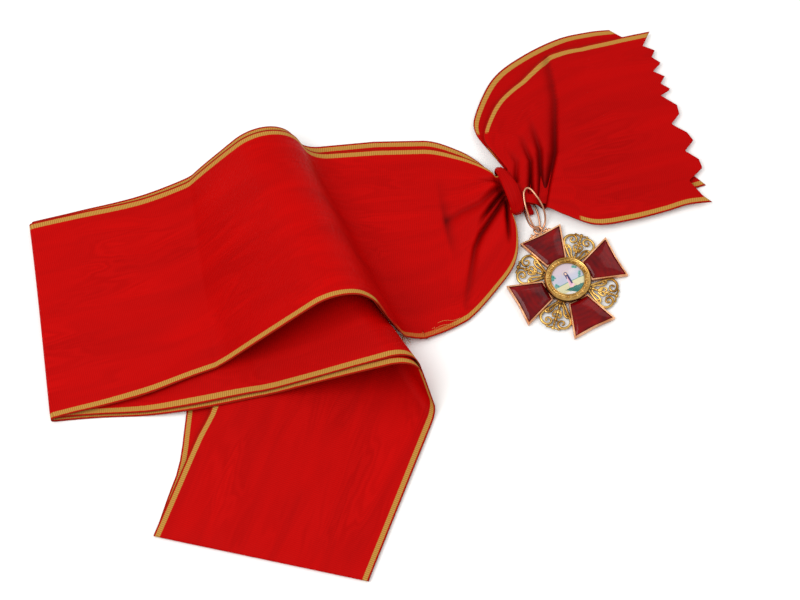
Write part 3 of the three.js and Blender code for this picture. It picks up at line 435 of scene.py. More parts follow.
# The far end turns round from the top layer to the under layer, with rows at these shares of the turn
TURN_SHARES = (0.17, 0.33, 0.5, 0.67, 0.83)
end_s = FAR_END[0] * BAND - v_rows * HALF * np.tan(radians(FAR_END[1]))
end_p, end_n = band_points("lower", end_s, v_rows * HALF)
onward = band_points("lower", end_s + 1, v_rows * HALF)[0] - end_p
turn_points = np.array([end_p + (end_n * cos(share * pi) + onward * sin(share * pi)) * LAYER_OFF
                        for share in TURN_SHARES])
turn_lay = np.array([np.stack([end_s + share * pi * LAYER_OFF, v_rows * HALF], -1) for share in TURN_SHARES])
under_lay[..., 0] = 2 * FAR_END[0] * BAND - under_lay[..., 0]
loop_points = np.concatenate([top, turn_points, under[::-1]])
loop_lay = np.concatenate([top_lay, turn_lay, under_lay[::-1]])
loop_dim = np.concatenate([top_dim, np.zeros((len(turn_points), ROWS + 1)), under_dim[::-1]])
# The near stripe is turned under where the loop climbs out of the roll, and frayed beside it: start and
# end from the left fold, and the fade at each, in band widths
TURNED_UNDER = (1.7, 1.98, 0.03, 0.03)
FRAYED = (1.95, 2.33, 0.03, 0.04)
run_along = -loop_lay[..., 0] / BAND


def stretch_shown(start, end, fade_in, fade_out):
    return np.clip((run_along - start) / fade_in, 0, 1) * np.clip((end - run_along) / fade_out, 0, 1)


loop_bare = (stretch_shown(*TURNED_UNDER) + 0.5 * stretch_shown(*FRAYED)) * (loop_lay[..., 1] < 0)
sash_ribbon = silk_mesh("sash_ribbon", loop_points, loop_lay, bare=loop_bare, dim=loop_dim)


def linear(hex_colour):
    """An sRGB hex value as the linear colour that the shaders take."""
    parts = [int(hex_colour[i:i + 2], 16) / 255 for i in (1, 3, 5)]
    return tuple(c / 12.92 if c <= 0.04045 else ((c + 0.055) / 1.055) ** 2.4 for c in parts) + (1.0,)


def add_node(tree, kind, settings=(), sockets=(), links=()):
    """One node with its settings, socket values and incoming links."""
    node = tree.nodes.new(kind)
    for key, value in dict(settings).items():
        setattr(node, key, value)
    for key, value in dict(sockets).items():
        node.inputs[key].default_value = value
    for key, source in dict(links).items():
        tree.links.new(source, node.inputs[key])
    return node


def new_material(name):
    material = bpy.data.materials.new(name)
    material.use_nodes = True
    tree = material.node_tree
    tree.nodes.clear()
    return material, tree


MATH, MIX = "ShaderNodeMath", "ShaderNodeMix"
NOISE, RANGE = "ShaderNodeTexNoise", "ShaderNodeMapRange"
# The ribs are drawn so many mm apart
RIB = 0.95
# The yellow stripe in mm: its middle from the ribbon's middle, its half width out to where it ends and
# to where it is full, and how ragged its edges are. The dark selvedge begins beyond it.
STRIPE = {"middle": 48.75, "end": 1.18, "full": 1.0, "ragged": 0.35}
SELVEDGE = {"From Min": 50.0, "From Max": 50.25, "To Max": 0.7}


def watered_silk(name, deep, bright, stripes=True):
    """Watered (moire) ribbed silk, plain woven and pressed: soft sheen, fine ribs across the ribbon,
    and faint water marks along it. The real ribs are about 0.6 mm apart, too fine for the render, so
    they are drawn coarser. The lay is in mm, so a scale is one over a size in mm."""
    material, tree = new_material(name)
    lay = add_node(tree, "ShaderNodeAttribute", {"attribute_name": "lay"}).outputs["Vector"]
    along, across, bare = add_node(tree, "ShaderNodeSeparateXYZ", links={0: lay}).outputs
    # Ribs, uneven over 6 mm
    uneven = add_node(tree, NOISE, sockets={"Scale": 0.16, "Detail": 2.0}, links={"Vector": lay})
    drift = add_node(tree, MATH, {"operation": "MULTIPLY_ADD"}, {1: 0.9, 2: 0.0}, {0: uneven.outputs[0]})
    placed = add_node(tree, MATH, {"operation": "ADD"}, links={0: along, 1: drift.outputs[0]})
    turns = add_node(tree, MATH, {"operation": "MULTIPLY"}, {1: 2 * pi / RIB}, {0: placed.outputs[0]})
    ribs = add_node(tree, MATH, {"operation": "SINE"}, links={0: turns.outputs[0]})
    # Water marks: grain lines along the ribbon, from noise 60 mm long and 10 mm wide, in 40 mm patches
    stretch = add_node(tree, "ShaderNodeMapping", sockets={"Scale": (0.016, 0.1, 1.0)}, links={"Vector": lay})
    pools = add_node(tree, NOISE, links={"Vector": stretch.outputs[0]},
                     sockets={"Scale": 1.0, "Detail": 3.0, "Roughness": 0.45, "Distortion": 0.5})
    grain = add_node(tree, MATH, {"operation": "MULTIPLY"}, {1: 62.0}, {0: pools.outputs[0]})
    lines = add_node(tree, MATH, {"operation": "SINE"}, links={0: grain.outputs[0]})
    patch = add_node(tree, NOISE, sockets={"Scale": 0.024, "Detail": 2.0}, links={"Vector": lay})
    shown = add_node(tree, RANGE, sockets={"From Min": 0.44, "From Max": 0.66},
                     links={"Value": patch.outputs[0]})
    marks = add_node(tree, MATH, {"operation": "MULTIPLY"}, links={0: lines.outputs[0], 1: shown.outputs[0]})
    # Red ground, lighter on the pools, the marks and the ribs
    tone = add_node(tree, RANGE, links={"Value": pools.outputs[0]},
                    sockets={"From Min": 0.3, "From Max": 0.7, "To Min": 0.35, "To Max": 0.65})
    marked = add_node(tree, MATH, {"operation": "MULTIPLY_ADD"}, {1: 0.11},
                      {0: marks.outputs[0], 2: tone.outputs[0]})
    ribbed = add_node(tree, MATH, {"operation": "MULTIPLY_ADD", "use_clamp": True}, {1: 0.12},
                      {0: ribs.outputs[0], 2: marked.outputs[0]})
    ground = add_node(tree, MIX, {"data_type": "RGBA"}, {6: linear(deep), 7: linear(bright)},
                      {0: ribbed.outputs[0]})
    colour = ground.outputs[2]
    if stripes:
        # Yellow stripe 2.2 mm wide, 0.4 mm in from the dark selvedge
        size = add_node(tree, MATH, {"operation": "ABSOLUTE"}, links={0: across})
        jitter = add_node(tree, NOISE, sockets={"Scale": 1.3}, links={"Vector": lay})
        edge = add_node(tree, MATH, {"operation": "MULTIPLY_ADD"}, {1: STRIPE["ragged"]},
                        {0: jitter.outputs[0], 2: size.outputs[0]})
        middle = add_node(tree, MATH, {"operation": "SUBTRACT"}, {1: STRIPE["middle"]}, {0: edge.outputs[0]})
        away = add_node(tree, MATH, {"operation": "ABSOLUTE"}, links={0: middle.outputs[0]})
        stripe = add_node(tree, RANGE, sockets={"From Min": STRIPE["end"], "From Max": STRIPE["full"]},
                          links={"Value": away.outputs[0]})
        worn = add_node(tree, MATH, {"operation": "SUBTRACT"}, {0: 1.0}, {1: bare})
        shown_stripe = add_node(tree, MATH, {"operation": "MULTIPLY", "use_clamp": True},
                                links={0: stripe.outputs[0], 1: worn.outputs[0]})
        thread = add_node(tree, RANGE, sockets={"From Min": -1.6, "From Max": 1.0},
                          links={"Value": ribs.outputs[0]})
        yellow = add_node(tree, MIX, {"data_type": "RGBA"}, {6: linear("#87581f"), 7: linear("#bb8a40")},
                          {0: thread.outputs[0]})
        striped = add_node(tree, MIX, {"data_type": "RGBA"},
                           links={0: shown_stripe.outputs[0], 6: ground.outputs[2], 7: yellow.outputs[2]})
        rim = add_node(tree, RANGE, sockets=SELVEDGE, links={"Value": size.outputs[0]})
        finished = add_node(tree, MIX, {"data_type": "RGBA"}, {7: linear("#7a2410")},
                            {0: rim.outputs[0], 6: striped.outputs[2]})
        colour = finished.outputs[2]
    # Painted shade: the depths of the creases, where little light gets in, are darkened toward deep red by
    # the dim attribute
    deep_in = add_node(tree, "ShaderNodeAttribute", {"attribute_name": "dim"})
    hollow = add_node(tree, MATH, {"operation": "MULTIPLY", "use_clamp": True}, {1: 0.82},
                      {0: deep_in.outputs["Fac"]})
    shaded = add_node(tree, MIX, {"data_type": "RGBA"}, {7: linear("#3a0000")},
                      {0: hollow.outputs[0], 6: colour})
    # Relief: the ribs and marks, with threads 3 mm long and 0.4 mm wide
    threads = add_node(tree, "ShaderNodeMapping", sockets={"Scale": (0.35, 2.4, 1.0)}, links={"Vector": lay})
    fibre = add_node(tree, NOISE, sockets={"Scale": 1.0, "Detail": 2.0}, links={"Vector": threads.outputs[0]})
    woven = add_node(tree, MATH, {"operation": "MULTIPLY_ADD"}, {1: 0.5},
                     {0: fibre.outputs[0], 2: ribs.outputs[0]})
    relief = add_node(tree, MATH, {"operation": "MULTIPLY_ADD"}, {1: 0.35},
                      {0: marks.outputs[0], 2: woven.outputs[0]})
    bump = add_node(tree, "ShaderNodeBump", sockets={"Strength": 0.22, "Distance": 0.12 * MM},
                    links={"Height": relief.outputs[0]})
    rough = add_node(tree, RANGE, links={"Value": marks.outputs[0]},
                     sockets={"From Min": -1.0, "From Max": 1.0, "To Min": 0.62, "To Max": 0.54})
    shader = add_node(tree, "ShaderNodeBsdfPrincipled", sockets={"Specular IOR Level": 0.04},
                      links={"Base Color": shaded.outputs[2], "Roughness": rough.outputs[0],
                             "Normal": bump.outputs[0]})
    add_node(tree, "ShaderNodeOutputMaterial", links={"Surface": shader.outputs[0]})
    return material


loop_silk = watered_silk("watered_silk_loop", "#8f0000", "#c00200")
sash_ribbon.data.materials.append(loop_silk)
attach(sash_ribbon, "root")
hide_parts("sash_loop")

# The two tails: the ribbon's single ends, fanned out beyond the neck, one over the other, and cut
# with a pinking iron. The teeth have frayed a little.
FRONT_FAN = [
    (0.014, 0.088, 0.084, 0.014, 0, 0.088, 0.014, -0.085, 0.08),
    (0.034, 0.1, 0.084, 0.045, 0, 0.09, 0.045, -0.087, 0.08),
    (0.01, 0.19, 0.078, 0.09, 0.025, 0.088, 0.09, -0.105, 0.072),
    (-0.012, 0.29, 0.062, 0.15, 0.06, 0.08, 0.15, -0.145, 0.062),
    (0.035, 0.38, 0.05, 0.24, 0.1, 0.066, 0.22, -0.21, 0.054),
    (0.145, 0.48, 0.044, 0.36, 0.125, 0.052, 0.34, -0.305, 0.046),
    (0.34, 0.558, 0.04, 0.52, 0.13, 0.044, 0.51, -0.337, 0.04),
    (0.55, 0.607, 0.036, 0.68, 0.125, 0.038, 0.68, -0.35, 0.036),
    (0.76, 0.592, 0.034, 0.8, 0.118, 0.034, 0.79, -0.352, 0.034),
    (0.905, 0.575, 0.032, 0.89, 0.11, 0.032, 0.855, -0.365, 0.032),
]
REAR_FAN = [
    (0.014, 0.088, 0.046, 0.014, 0, 0.046, 0.014, -0.085, 0.046),
    (0.03, 0.105, 0.046, 0.045, 0, 0.046, 0.045, -0.087, 0.046),
    (0, 0.21, 0.044, 0.09, 0.03, 0.046, 0.09, -0.1, 0.046),
    (-0.035, 0.35, 0.032, 0.15, 0.09, 0.04, 0.15, -0.115, 0.038),
    (0.003, 0.45, 0.022, 0.24, 0.15, 0.028, 0.22, -0.16, 0.028),
    (0.15, 0.6, 0.012, 0.36, 0.19, 0.014, 0.34, -0.21, 0.014),
    (0.33, 0.668, 0.008, 0.52, 0.21, 0.008, 0.51, -0.24, 0.008),
    (0.53, 0.695, 0.006, 0.66, 0.21, 0.006, 0.68, -0.26, 0.006),
    (0.68, 0.68, 0.006, 0.77, 0.205, 0.006, 0.78, -0.268, 0.006),
    (0.785, 0.655, 0.006, 0.84, 0.2, 0.006, 0.87, -0.275, 0.006),
]
FRONT_CREASES = [
    {"line": [(0.12, -0.16), (0.293, 0.118), (0.392, 0.371), (0.423, 0.505), (0.445, 0.62)],
     "deep": (4.6, 3.4, 2.2, 1.6, 1.0), "wide": (2.8, 0.9)},
    {"line": [(0.14, -0.09), (0.223, 0.153), (0.237, 0.335)], "deep": (4.6, 2.9, 0), "wide": (1.8, 1.4)},
    {"line": [(0.1, -0.04), (0.158, 0.107), (0.159, 0.268)], "deep": (4.6, 2.9, 0), "wide": (1.5, 1.4)},
    {"line": [(0.05, 0.03), (0.09, 0.12), (0.07, 0.22)], "deep": (2.4, 1.2, 0), "wide": (1.3, 1.6)},
]
# The corner that the long crease makes in the far edge: its place along the sections, how many of
# them it spans, how far it stands out in mm, and how far from the middle of the tail it begins
CORNER = {"at": 6.45, "spans": 0.8, "out": 3.4, "from": 0.2}
# Where the stripes are tucked out of sight next to the neck: mm along the far and the near edge, and
# the fade in mm
TUCKED = {"front_end": ((0, 27),), "rear_end": ((0, 10.5), (18.5, 28))}
NEAR_TUCK = {"front_end": 37.5, "rear_end": 26.0}
TUCK_FADE = 0.6
# Teeth of the pinked ends, from the far edge to the near edge: place in half widths, reach in widths
FRONT_TEETH = [
    (1, 0.06), (0.85, 0), (0.77, 0.048), (0.7, 0.02), (0.61, 0.052), (0.54, -0.002), (0.45, 0.044),
    (0.38, 0.012), (0.29, 0.05), (0.25, -0.01), (0.1, 0.05), (0, 0.045), (-0.09, -0.01), (-0.22, 0.05),
    (-0.32, 0.066), (-0.41, 0.008), (-0.53, 0.06), (-0.63, 0.062), (-0.74, -0.02), (-0.92, 0.02),
    (-1, 0.055),
]
REAR_TEETH = [
    (1, 0), (0.86, 0.05), (0.72, 0), (0.58, 0.04), (0.44, -0.01), (0.3, 0.03), (0.15, -0.015), (0, 0.03),
    (-0.15, -0.015), (-0.3, 0.03), (-0.45, -0.015), (-0.6, 0.03), (-0.75, -0.015), (-0.88, 0.02), (-1, 0.05),
]
# Rows along and across a tail, the share of its length at which the teeth begin, the height at which
# its cloth rests in mm, and how much of the ribbon's unevenness it has
TAIL_ROWS, TAIL_COLUMNS = 110, 121
TEETH_FROM = 0.84
TAIL_REST = 0.5
TAIL_RIPPLE = 0.8


def grid_normals(points):
    across = np.gradient(points, axis=1)
    along = np.gradient(points, axis=0)
    normal = np.cross(along, across)
    normal /= np.linalg.norm(normal, axis=2, keepdims=True) + 1e-9
    return normal * np.where(normal[..., 2:] < 0, -1, 1)


def tail_mesh(name, sections, creases, teeth, seed):
    """One tail, row by row from the neck to its teeth."""
    last = len(sections) - 1
    rows = np.linspace(-1, 1, TAIL_COLUMNS)
    f, v = np.meshgrid(np.linspace(0, last, TAIL_ROWS), rows, indexing="ij")
    points, dim = fan_grid(sections, creases, f, v, TAIL_REST)
    if creases:
        far_side = np.clip((v - CORNER["from"]) / (1 - CORNER["from"]), 0, 1) ** 2
        corner = np.clip(1 - np.abs(f - CORNER["at"]) / CORNER["spans"], 0, 1) * far_side
        points += corner[..., None] * CORNER["out"] * (from_knot(0, 1) - from_knot(0, 0))
    steps = np.linalg.norm(np.diff(points, axis=0), axis=2)
    along = np.concatenate([np.zeros((1, len(rows))), np.cumsum(steps, axis=0)])
    table = sorted(teeth)
    out = np.interp(rows, [t[0] for t in table], [t[1] for t in table]) * BAND
    onward = points[-1] - points[-6]
    onward[:, 2] = 0
    onward /= np.linalg.norm(onward, axis=1, keepdims=True)
    share = np.clip((f / last - TEETH_FROM) / (1 - TEETH_FROM), 0, 1)
    reach = (share ** 1.5)[..., None] * out[None, :, None]
    points = points + reach * onward[None]
    along = along + reach[..., 0]
    uneven = ripple(along, v * HALF, seed) * TAIL_RIPPLE * np.clip(f / 3, 0, 1)
    points += grid_normals(points) * uneven[..., None]
    tucked = (v < 0) * np.clip((NEAR_TUCK[name] - along) / TUCK_FADE, 0, 1)
    for start, end in TUCKED[name]:
        tucked += ((v > 0) * np.clip((along - start) / TUCK_FADE + 1, 0, 1)
                   * np.clip((end - along) / TUCK_FADE, 0, 1))
    return silk_mesh(name, points, np.stack([along, v * HALF], -1), bare=tucked, dim=dim)


tail_silk = watered_silk("watered_silk_tails", "#8a0000", "#b80100")
front_end = tail_mesh("front_end", FRONT_FAN, FRONT_CREASES, FRONT_TEETH, 2.0)
rear_end = tail_mesh("rear_end", REAR_FAN, [], REAR_TEETH, 3.0)
for piece, node in ((front_end, "front_tail"), (rear_end, "rear_tail")):
    piece.data.materials.append(tail_silk)
    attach(piece, "root")
    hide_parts(node)

# The cuff: a short length of the same ribbon, folded and sewn round the gathered neck. It is pulled
# tight, so it has puckers along it, and its right mouth slants away underneath.
CUFF = {"wide": 5.9, "half": 12.6, "high": 13.0, "lean": 2.4, "flare": 0.8, "start": -2.5, "wall": 0.5}
# Puckers round it, one soft fold that slants across it, and two rims that roll in, in mm and in shares
# of the cuff's width
PUCKER = {"count": 7, "deep": 0.22}
SOFT_FOLD = {"at": 0.3, "slant": 0.18, "wide": 0.07, "deep": 0.2}
RIM_ROLL = {"in": 1.3, "out": 0.25, "tight": 2.6}


def cuff_ring():
    """The cuff's cloth, round the neck and from one mouth to the other."""
    around = np.linspace(0, 2 * pi, 200, endpoint=False)
    angle, share = np.meshgrid(around, np.linspace(0, 1, 33), indexing="ij")
    waves = np.sin(PUCKER["count"] * angle + 2.0 * np.sin(2 * angle) + 3 * share)
    pucker = PUCKER["deep"] * waves * np.sin(pi * share) ** 0.7
    off_fold = share - SOFT_FOLD["at"] - SOFT_FOLD["slant"] * np.sin(angle)
    fold = SOFT_FOLD["deep"] * np.exp(-(off_fold / SOFT_FOLD["wide"]) ** 2)
    roll = RIM_ROLL["in"] * np.abs(2 * share - 1) ** RIM_ROLL["tight"] - RIM_ROLL["out"]
    half = CUFF["half"] - roll + pucker - fold
    high = CUFF["high"] / 2 - roll + 0.6 * pucker - fold
    across = half * np.cos(angle)
    up = np.maximum(CUFF["high"] / 2 + high * np.sin(angle), 0.3)
    lean = CUFF["lean"] * np.maximum(np.cos(angle), -0.1)
    width = CUFF["wide"] - lean + CUFF["flare"] * np.clip(np.sin(angle), 0, 1)
    points = from_knot(CUFF["start"] + share * width, across, up)
    lay = np.stack([share * CUFF["wide"] + 3.0, angle * 10], -1)
    return silk_mesh("neck_cuff", points, lay, CUFF["wall"], ring=True)


neck_cuff = cuff_ring()
cuff_silk = watered_silk("ribbed_silk_cuff", "#860000", "#b00100", stripes=False)
neck_cuff.data.materials.append(cuff_silk)
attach(neck_cuff, "root")
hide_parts("knot_cuff")

# The hanger: a narrow strap of the ribbon, sewn into a flattened ring beneath the neck. The wire loop
# of the badge passes through it.
STRAP = {"from": 5.5, "wide": 2.8, "near": -14.0, "far": 2.0, "high": 3.4, "wall": 0.6, "inside": 0.35}
STRAP_STEPS = 20


def strap_ring():
    """Two flat lengths of cloth, one over the other, and a half round at each end."""
    middle = STRAP["high"] / 2
    radius = middle - STRAP["inside"]
    far, near = STRAP["far"] - middle, STRAP["near"] + middle
    turn = np.linspace(-pi / 2, pi / 2, STRAP_STEPS)
    flat = np.linspace(0, 1, STRAP_STEPS + 2)[1:-1]
    level = np.full(STRAP_STEPS, radius)
    b = np.concatenate([far + radius * np.cos(turn), far + (near - far) * flat,
                        near - radius * np.cos(turn), near + (far - near) * flat])
    z = middle + np.concatenate([radius * np.sin(turn), level, -radius * np.sin(turn), -level])
    grid_b, share = np.meshgrid(b, np.linspace(0, 1, 12), indexing="ij")
    grid_z = np.repeat(z[:, None], share.shape[1], 1)
    run = np.cumsum(np.hypot(np.gradient(b), np.gradient(z)))
    lay = np.stack([np.repeat(run[:, None], share.shape[1], 1), (share - 0.5) * STRAP["wide"]], -1)
    points = from_knot(STRAP["from"] + share * STRAP["wide"], grid_b, grid_z)
    return silk_mesh("hanger_strap", points, lay, STRAP["wall"], ring=True)


hanger_strap = strap_ring()
hanger_strap.data.materials.append(cuff_silk)
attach(hanger_strap, "root")
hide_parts("badge_strap")

# The suspension loop: two long ovals of drawn rose-gold wire, soldered at the eyelet. One arches over
# the cuff's cloth, the other passes under the tail through the strap.
WIRE = 0.5
SOLDER = {"high": 2.6, "radius": 0.68}
FRONT_OVAL = [
    (7, -22.8, 2.7), (5.6, -21.6, 4.6), (4.8, -19, 5.6), (4.5, -15.2, 7.2), (4.5, -11.5, 9),
    (5.1, -7.5, 10.2), (6.1, -4.6, 10.9), (8.2, -3.1, 11.1), (9.9, -4.6, 10.9), (11, -7.9, 10.2),
    (12, -10.9, 9.3), (12.7, -14, 7.4), (12.9, -16.9, 4.6), (12, -20, 1.9), (9.8, -22.2, 0.9),
    (7.8, -22.9, 1.4),
]
REAR_OVAL = [
    (6.9, -22.7, 2.9), (5.2, -22.1, 4.4), (3.9, -19.5, 4.4), (3.9, -15.5, 3.2), (4.3, -11.5, 2.3),
    (4.65, -8.2, 1.8), (5.4, -6.4, 1.7), (7, -5.9, 1.7), (8.7, -6.4, 1.7), (9.8, -8.2, 1.8),
    (10.3, -11.5, 1.8), (10.2, -15, 1.6), (9.5, -18.6, 1.1), (8.6, -21.4, 0.9), (7.4, -22.7, 1.4),
]


def drawn_wire(name, places, radius, closed=False, sides=3, steps=6, thins=None):
    """A round wire bent through the places, as a mesh. thins gives its thickness at each place."""
    deselect()
    bpy.ops.curve.primitive_nurbs_path_add(radius=1)
    wire = bpy.context.object
    wire.name = name
    spline = wire.data.splines[0]
    spline.points.add(max(len(places) - len(spline.points), 0))
    for k, point in enumerate(spline.points):
        point.co = (*places[min(k, len(places) - 1)], 1.0)
        point.radius = thins[min(k, len(places) - 1)] if thins else 1.0
    spline.order_u = 3
    spline.use_endpoint_u = not closed
    spline.use_cyclic_u = closed
    wire.data.dimensions = "3D"
    wire.data.resolution_u = steps
    wire.data.bevel_depth = radius
    wire.data.bevel_resolution = sides
    wire.data.use_fill_caps = True
    bpy.ops.object.convert(target="MESH")
    bpy.ops.object.shade_smooth()
    return bpy.context.object


def gather(name, pieces):
    """Several meshes soldered into one piece."""
    deselect()
    for piece in pieces:
        piece.select_set(True)
    bpy.context.view_layer.objects.active = pieces[0]
    bpy.ops.object.join()
    whole = bpy.context.object
    whole.name = name
    whole.data.name = name
    return whole


def place_mesh(piece, matrix):
    """Bakes the object's own place and then the matrix into its mesh."""
    piece.data.transform(matrix @ piece.matrix_world)
    piece.matrix_world = Matrix.Identity(4)
    piece.data.update()


def knot_places(table):
    return [tuple(from_knot(*row)) for row in table]


front_wire = drawn_wire("front_wire", knot_places(FRONT_OVAL), WIRE, closed=True)
rear_wire = drawn_wire("rear_wire", knot_places(REAR_OVAL), WIRE, closed=True)
deselect()
bpy.ops.mesh.primitive_uv_sphere_add(segments=16, ring_count=10, radius=SOLDER["radius"],
                                     location=from_knot(*EYELET_IN_KNOT, SOLDER["high"]))
solder = bpy.context.object
bpy.ops.object.shade_smooth()
wire_loop = gather("wire_loop", [front_wire, rear_wire, solder])
place_mesh(wire_loop, Matrix.Scale(MM, 4) @ Matrix.Translation(Vector(LIE_SHIFT)))


def worn_and_shaded_gold(name, pale, deep, rough, grit, low=None):
    """Gold alloy, cast or drawn and then polished by wear, its tone varying at random. Where low gives
    two heights in metres, painted shade darkens the low places, from the upper height down."""
    material, tree = new_material(name)
    where = add_node(tree, "ShaderNodeTexCoord").outputs["Object"]
    spots = add_node(tree, NOISE, sockets={"Scale": 1 / (grit * MM), "Detail": 3.0, "Roughness": 0.6},
                     links={"Vector": where})
    clouds = add_node(tree, NOISE, sockets={"Scale": 1 / (6 * MM), "Detail": 2.0}, links={"Vector": where})
    tint = add_node(tree, RANGE, sockets={"From Min": 0.35, "From Max": 0.65},
                    links={"Value": clouds.outputs[0]})
    metal = add_node(tree, MIX, {"data_type": "RGBA"}, {6: linear(deep), 7: linear(pale)},
                     {0: tint.outputs[0]})
    colour = metal.outputs[2]
    # Painted shade: below the heights in low, the colour is darkened toward dark brown
    if low:
        height = add_node(tree, "ShaderNodeSeparateXYZ", links={0: where})
        low_shade = add_node(tree, RANGE, sockets={"From Min": low[1], "From Max": low[0]},
                        links={"Value": height.outputs[2]})
        painted_low_shade = add_node(tree, MATH, {"operation": "MULTIPLY", "use_clamp": True}, {1: 1.5},
                         {0: low_shade.outputs[0]})
        dark = add_node(tree, MIX, {"data_type": "RGBA"}, {7: linear("#3c2a12")},
                        {0: painted_low_shade.outputs[0], 6: colour})
        colour = dark.outputs[2]
    shine = add_node(tree, RANGE, sockets={"To Min": rough - 0.08, "To Max": rough + 0.12},
                     links={"Value": spots.outputs[0]})
    bump = add_node(tree, "ShaderNodeBump", sockets={"Strength": 0.35, "Distance": 0.05 * MM},
                    links={"Height": spots.outputs[0]})
    shader = add_node(tree, "ShaderNodeBsdfPrincipled", sockets={"Metallic": 1.0},
                      links={"Base Color": colour, "Roughness": shine.outputs[0], "Normal": bump.outputs[0]})
    add_node(tree, "ShaderNodeOutputMaterial", links={"Surface": shader.outputs[0]})
    return material


rose_wire = worn_and_shaded_gold("drawn_rose_gold", "#dba583", "#b87a5c", 0.3, 0.5)
wire_loop.data.materials.clear()
wire_loop.data.materials.append(rose_wire)
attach(wire_loop, "root")
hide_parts("bail")

# Loose silk threads where the loop's near stripe has frayed, in the knot's frame in band widths: four
# single ends lie over the cloth's edge, and a small tuft hangs beside the roll. They carry nothing.
FRAYS = [
    [(-0.616, -0.532), (-0.59, -0.515), (-0.55, -0.503), (-0.505, -0.503), (-0.471, -0.521),
     (-0.439, -0.517)],
    [(-0.643, -0.522), (-0.597, -0.534), (-0.542, -0.522), (-0.503, -0.525), (-0.469, -0.543)],
    [(-0.587, -0.548), (-0.558, -0.537), (-0.517, -0.536), (-0.474, -0.53), (-0.444, -0.531)],
    [(-0.624, -0.527), (-0.599, -0.526), (-0.566, -0.52)],
]
TUFT = [
    [(-0.742, -0.491), (-0.74, -0.514), (-0.751, -0.531)],
    [(-0.733, -0.495), (-0.727, -0.518), (-0.741, -0.545)],
    [(-0.72, -0.5), (-0.724, -0.525), (-0.724, -0.551)],
    [(-0.711, -0.503), (-0.711, -0.53), (-0.704, -0.553)],
    [(-0.73, -0.501), (-0.713, -0.523), (-0.695, -0.541)],
    [(-0.717, -0.506), (-0.739, -0.525), (-0.729, -0.539)],
]
# Radii of a single end and of the tuft's twisted ends, their height and its unevenness, in mm
FRAY_RADIUS, TUFT_RADIUS = 0.07, 0.13
FRAY_HEIGHT, FRAY_WAVE = 2.7, 0.3


def fray_end(number, row, radius):
    """One loose end through its places, rising and falling a little."""
    places = [tuple(from_knot(a * BAND, b * BAND, FRAY_HEIGHT + FRAY_WAVE * sin(3 * k + number)))
              for k, (a, b) in enumerate(row)]
    return drawn_wire("fray", places, radius, sides=1, steps=5)


fray_ends = [fray_end(j, row, FRAY_RADIUS if j < len(FRAYS) else TUFT_RADIUS)
             for j, row in enumerate(FRAYS + TUFT)]
for part in fray_ends:
    place_mesh(part, Matrix.Identity(4))
loose_threads = gather("loose_threads", fray_ends)
place_mesh(loose_threads, Matrix.Scale(MM, 4) @ Matrix.Translation(Vector(LIE_SHIFT)))


def twisted_thread():
    """Yellow silk thread: matt with a soft shine. Its twist is too fine to show, so its bands are drawn
    a millimetre long."""
    material, tree = new_material("frayed_yellow_silk")
    where = add_node(tree, "ShaderNodeTexCoord")
    twist = add_node(tree, "ShaderNodeTexWave", sockets={"Scale": 1 / (3 * MM), "Distortion": 1.0},
                     links={"Vector": where.outputs["Object"]})
    colour = add_node(tree, MIX, {"data_type": "RGBA"}, {6: linear("#b8742e"), 7: linear("#d8a060")},
                      {0: twist.outputs["Fac"]})
    shader = add_node(tree, "ShaderNodeBsdfPrincipled", sockets={"Roughness": 0.6, "Specular IOR Level": 0.2},
                      links={"Base Color": colour.outputs[2]})
    add_node(tree, "ShaderNodeOutputMaterial", links={"Surface": shader.outputs[0]})
    return material


loose_threads.data.materials.clear()
loose_threads.data.materials.append(twisted_thread())
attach(loose_threads, "root")

# The cross: four flared arms of rose gold, each a shallow tray with a thin rim that holds its enamel.
# They are cast and filed, and soldered to the round middle.
SPAN = 54.6
# Distances from the badge's middle and half widths, the notch in the outer edge, the rim's width, and
# heights above the floor, in mm
ARM = {"inner": 0.385 * SPAN / 2, "inner_half": 0.19 * SPAN / 2, "outer": SPAN / 2,
       "outer_half": 0.407 * SPAN / 2, "dip": 0.5, "rim": 0.72, "base": 0.4, "top": 3.1, "tray": 1.5}
# An inset square to an arm's slanted side is so much more across the arm
SLANTED = 1.06
badge_place = (Matrix.Scale(MM, 4) @ Matrix.Translation(Vector(LIE_SHIFT + from_knot(*BADGE_IN_KNOT)))
               @ Matrix.Rotation(radians(BADGE_TURN), 4, "Z"))


def select_faces(piece, wanted):
    """Selects the faces for which wanted(centre, normal) holds, in edit mode."""
    make_active(piece)
    bpy.ops.object.mode_set(mode="EDIT")
    bpy.ops.mesh.select_mode(type="FACE")
    bpy.ops.mesh.select_all(action="DESELECT")
    bpy.ops.object.mode_set(mode="OBJECT")
    for face in piece.data.polygons:
        face.select = bool(wanted(face.center, face.normal))
    bpy.ops.object.mode_set(mode="EDIT")


def finish_edges(piece, width, segments, angle=30):
    """Rounds the edges sharper than angle, and shades the rest smooth."""
    make_active(piece)
    edge = piece.modifiers.new("edge", "BEVEL")
    edge.width = width
    edge.segments = segments
    edge.limit_method = "ANGLE"
    edge.angle_limit = radians(angle)
    bpy.ops.object.modifier_apply(modifier="edge")
    bpy.ops.object.shade_smooth_by_angle(angle=radians(40))


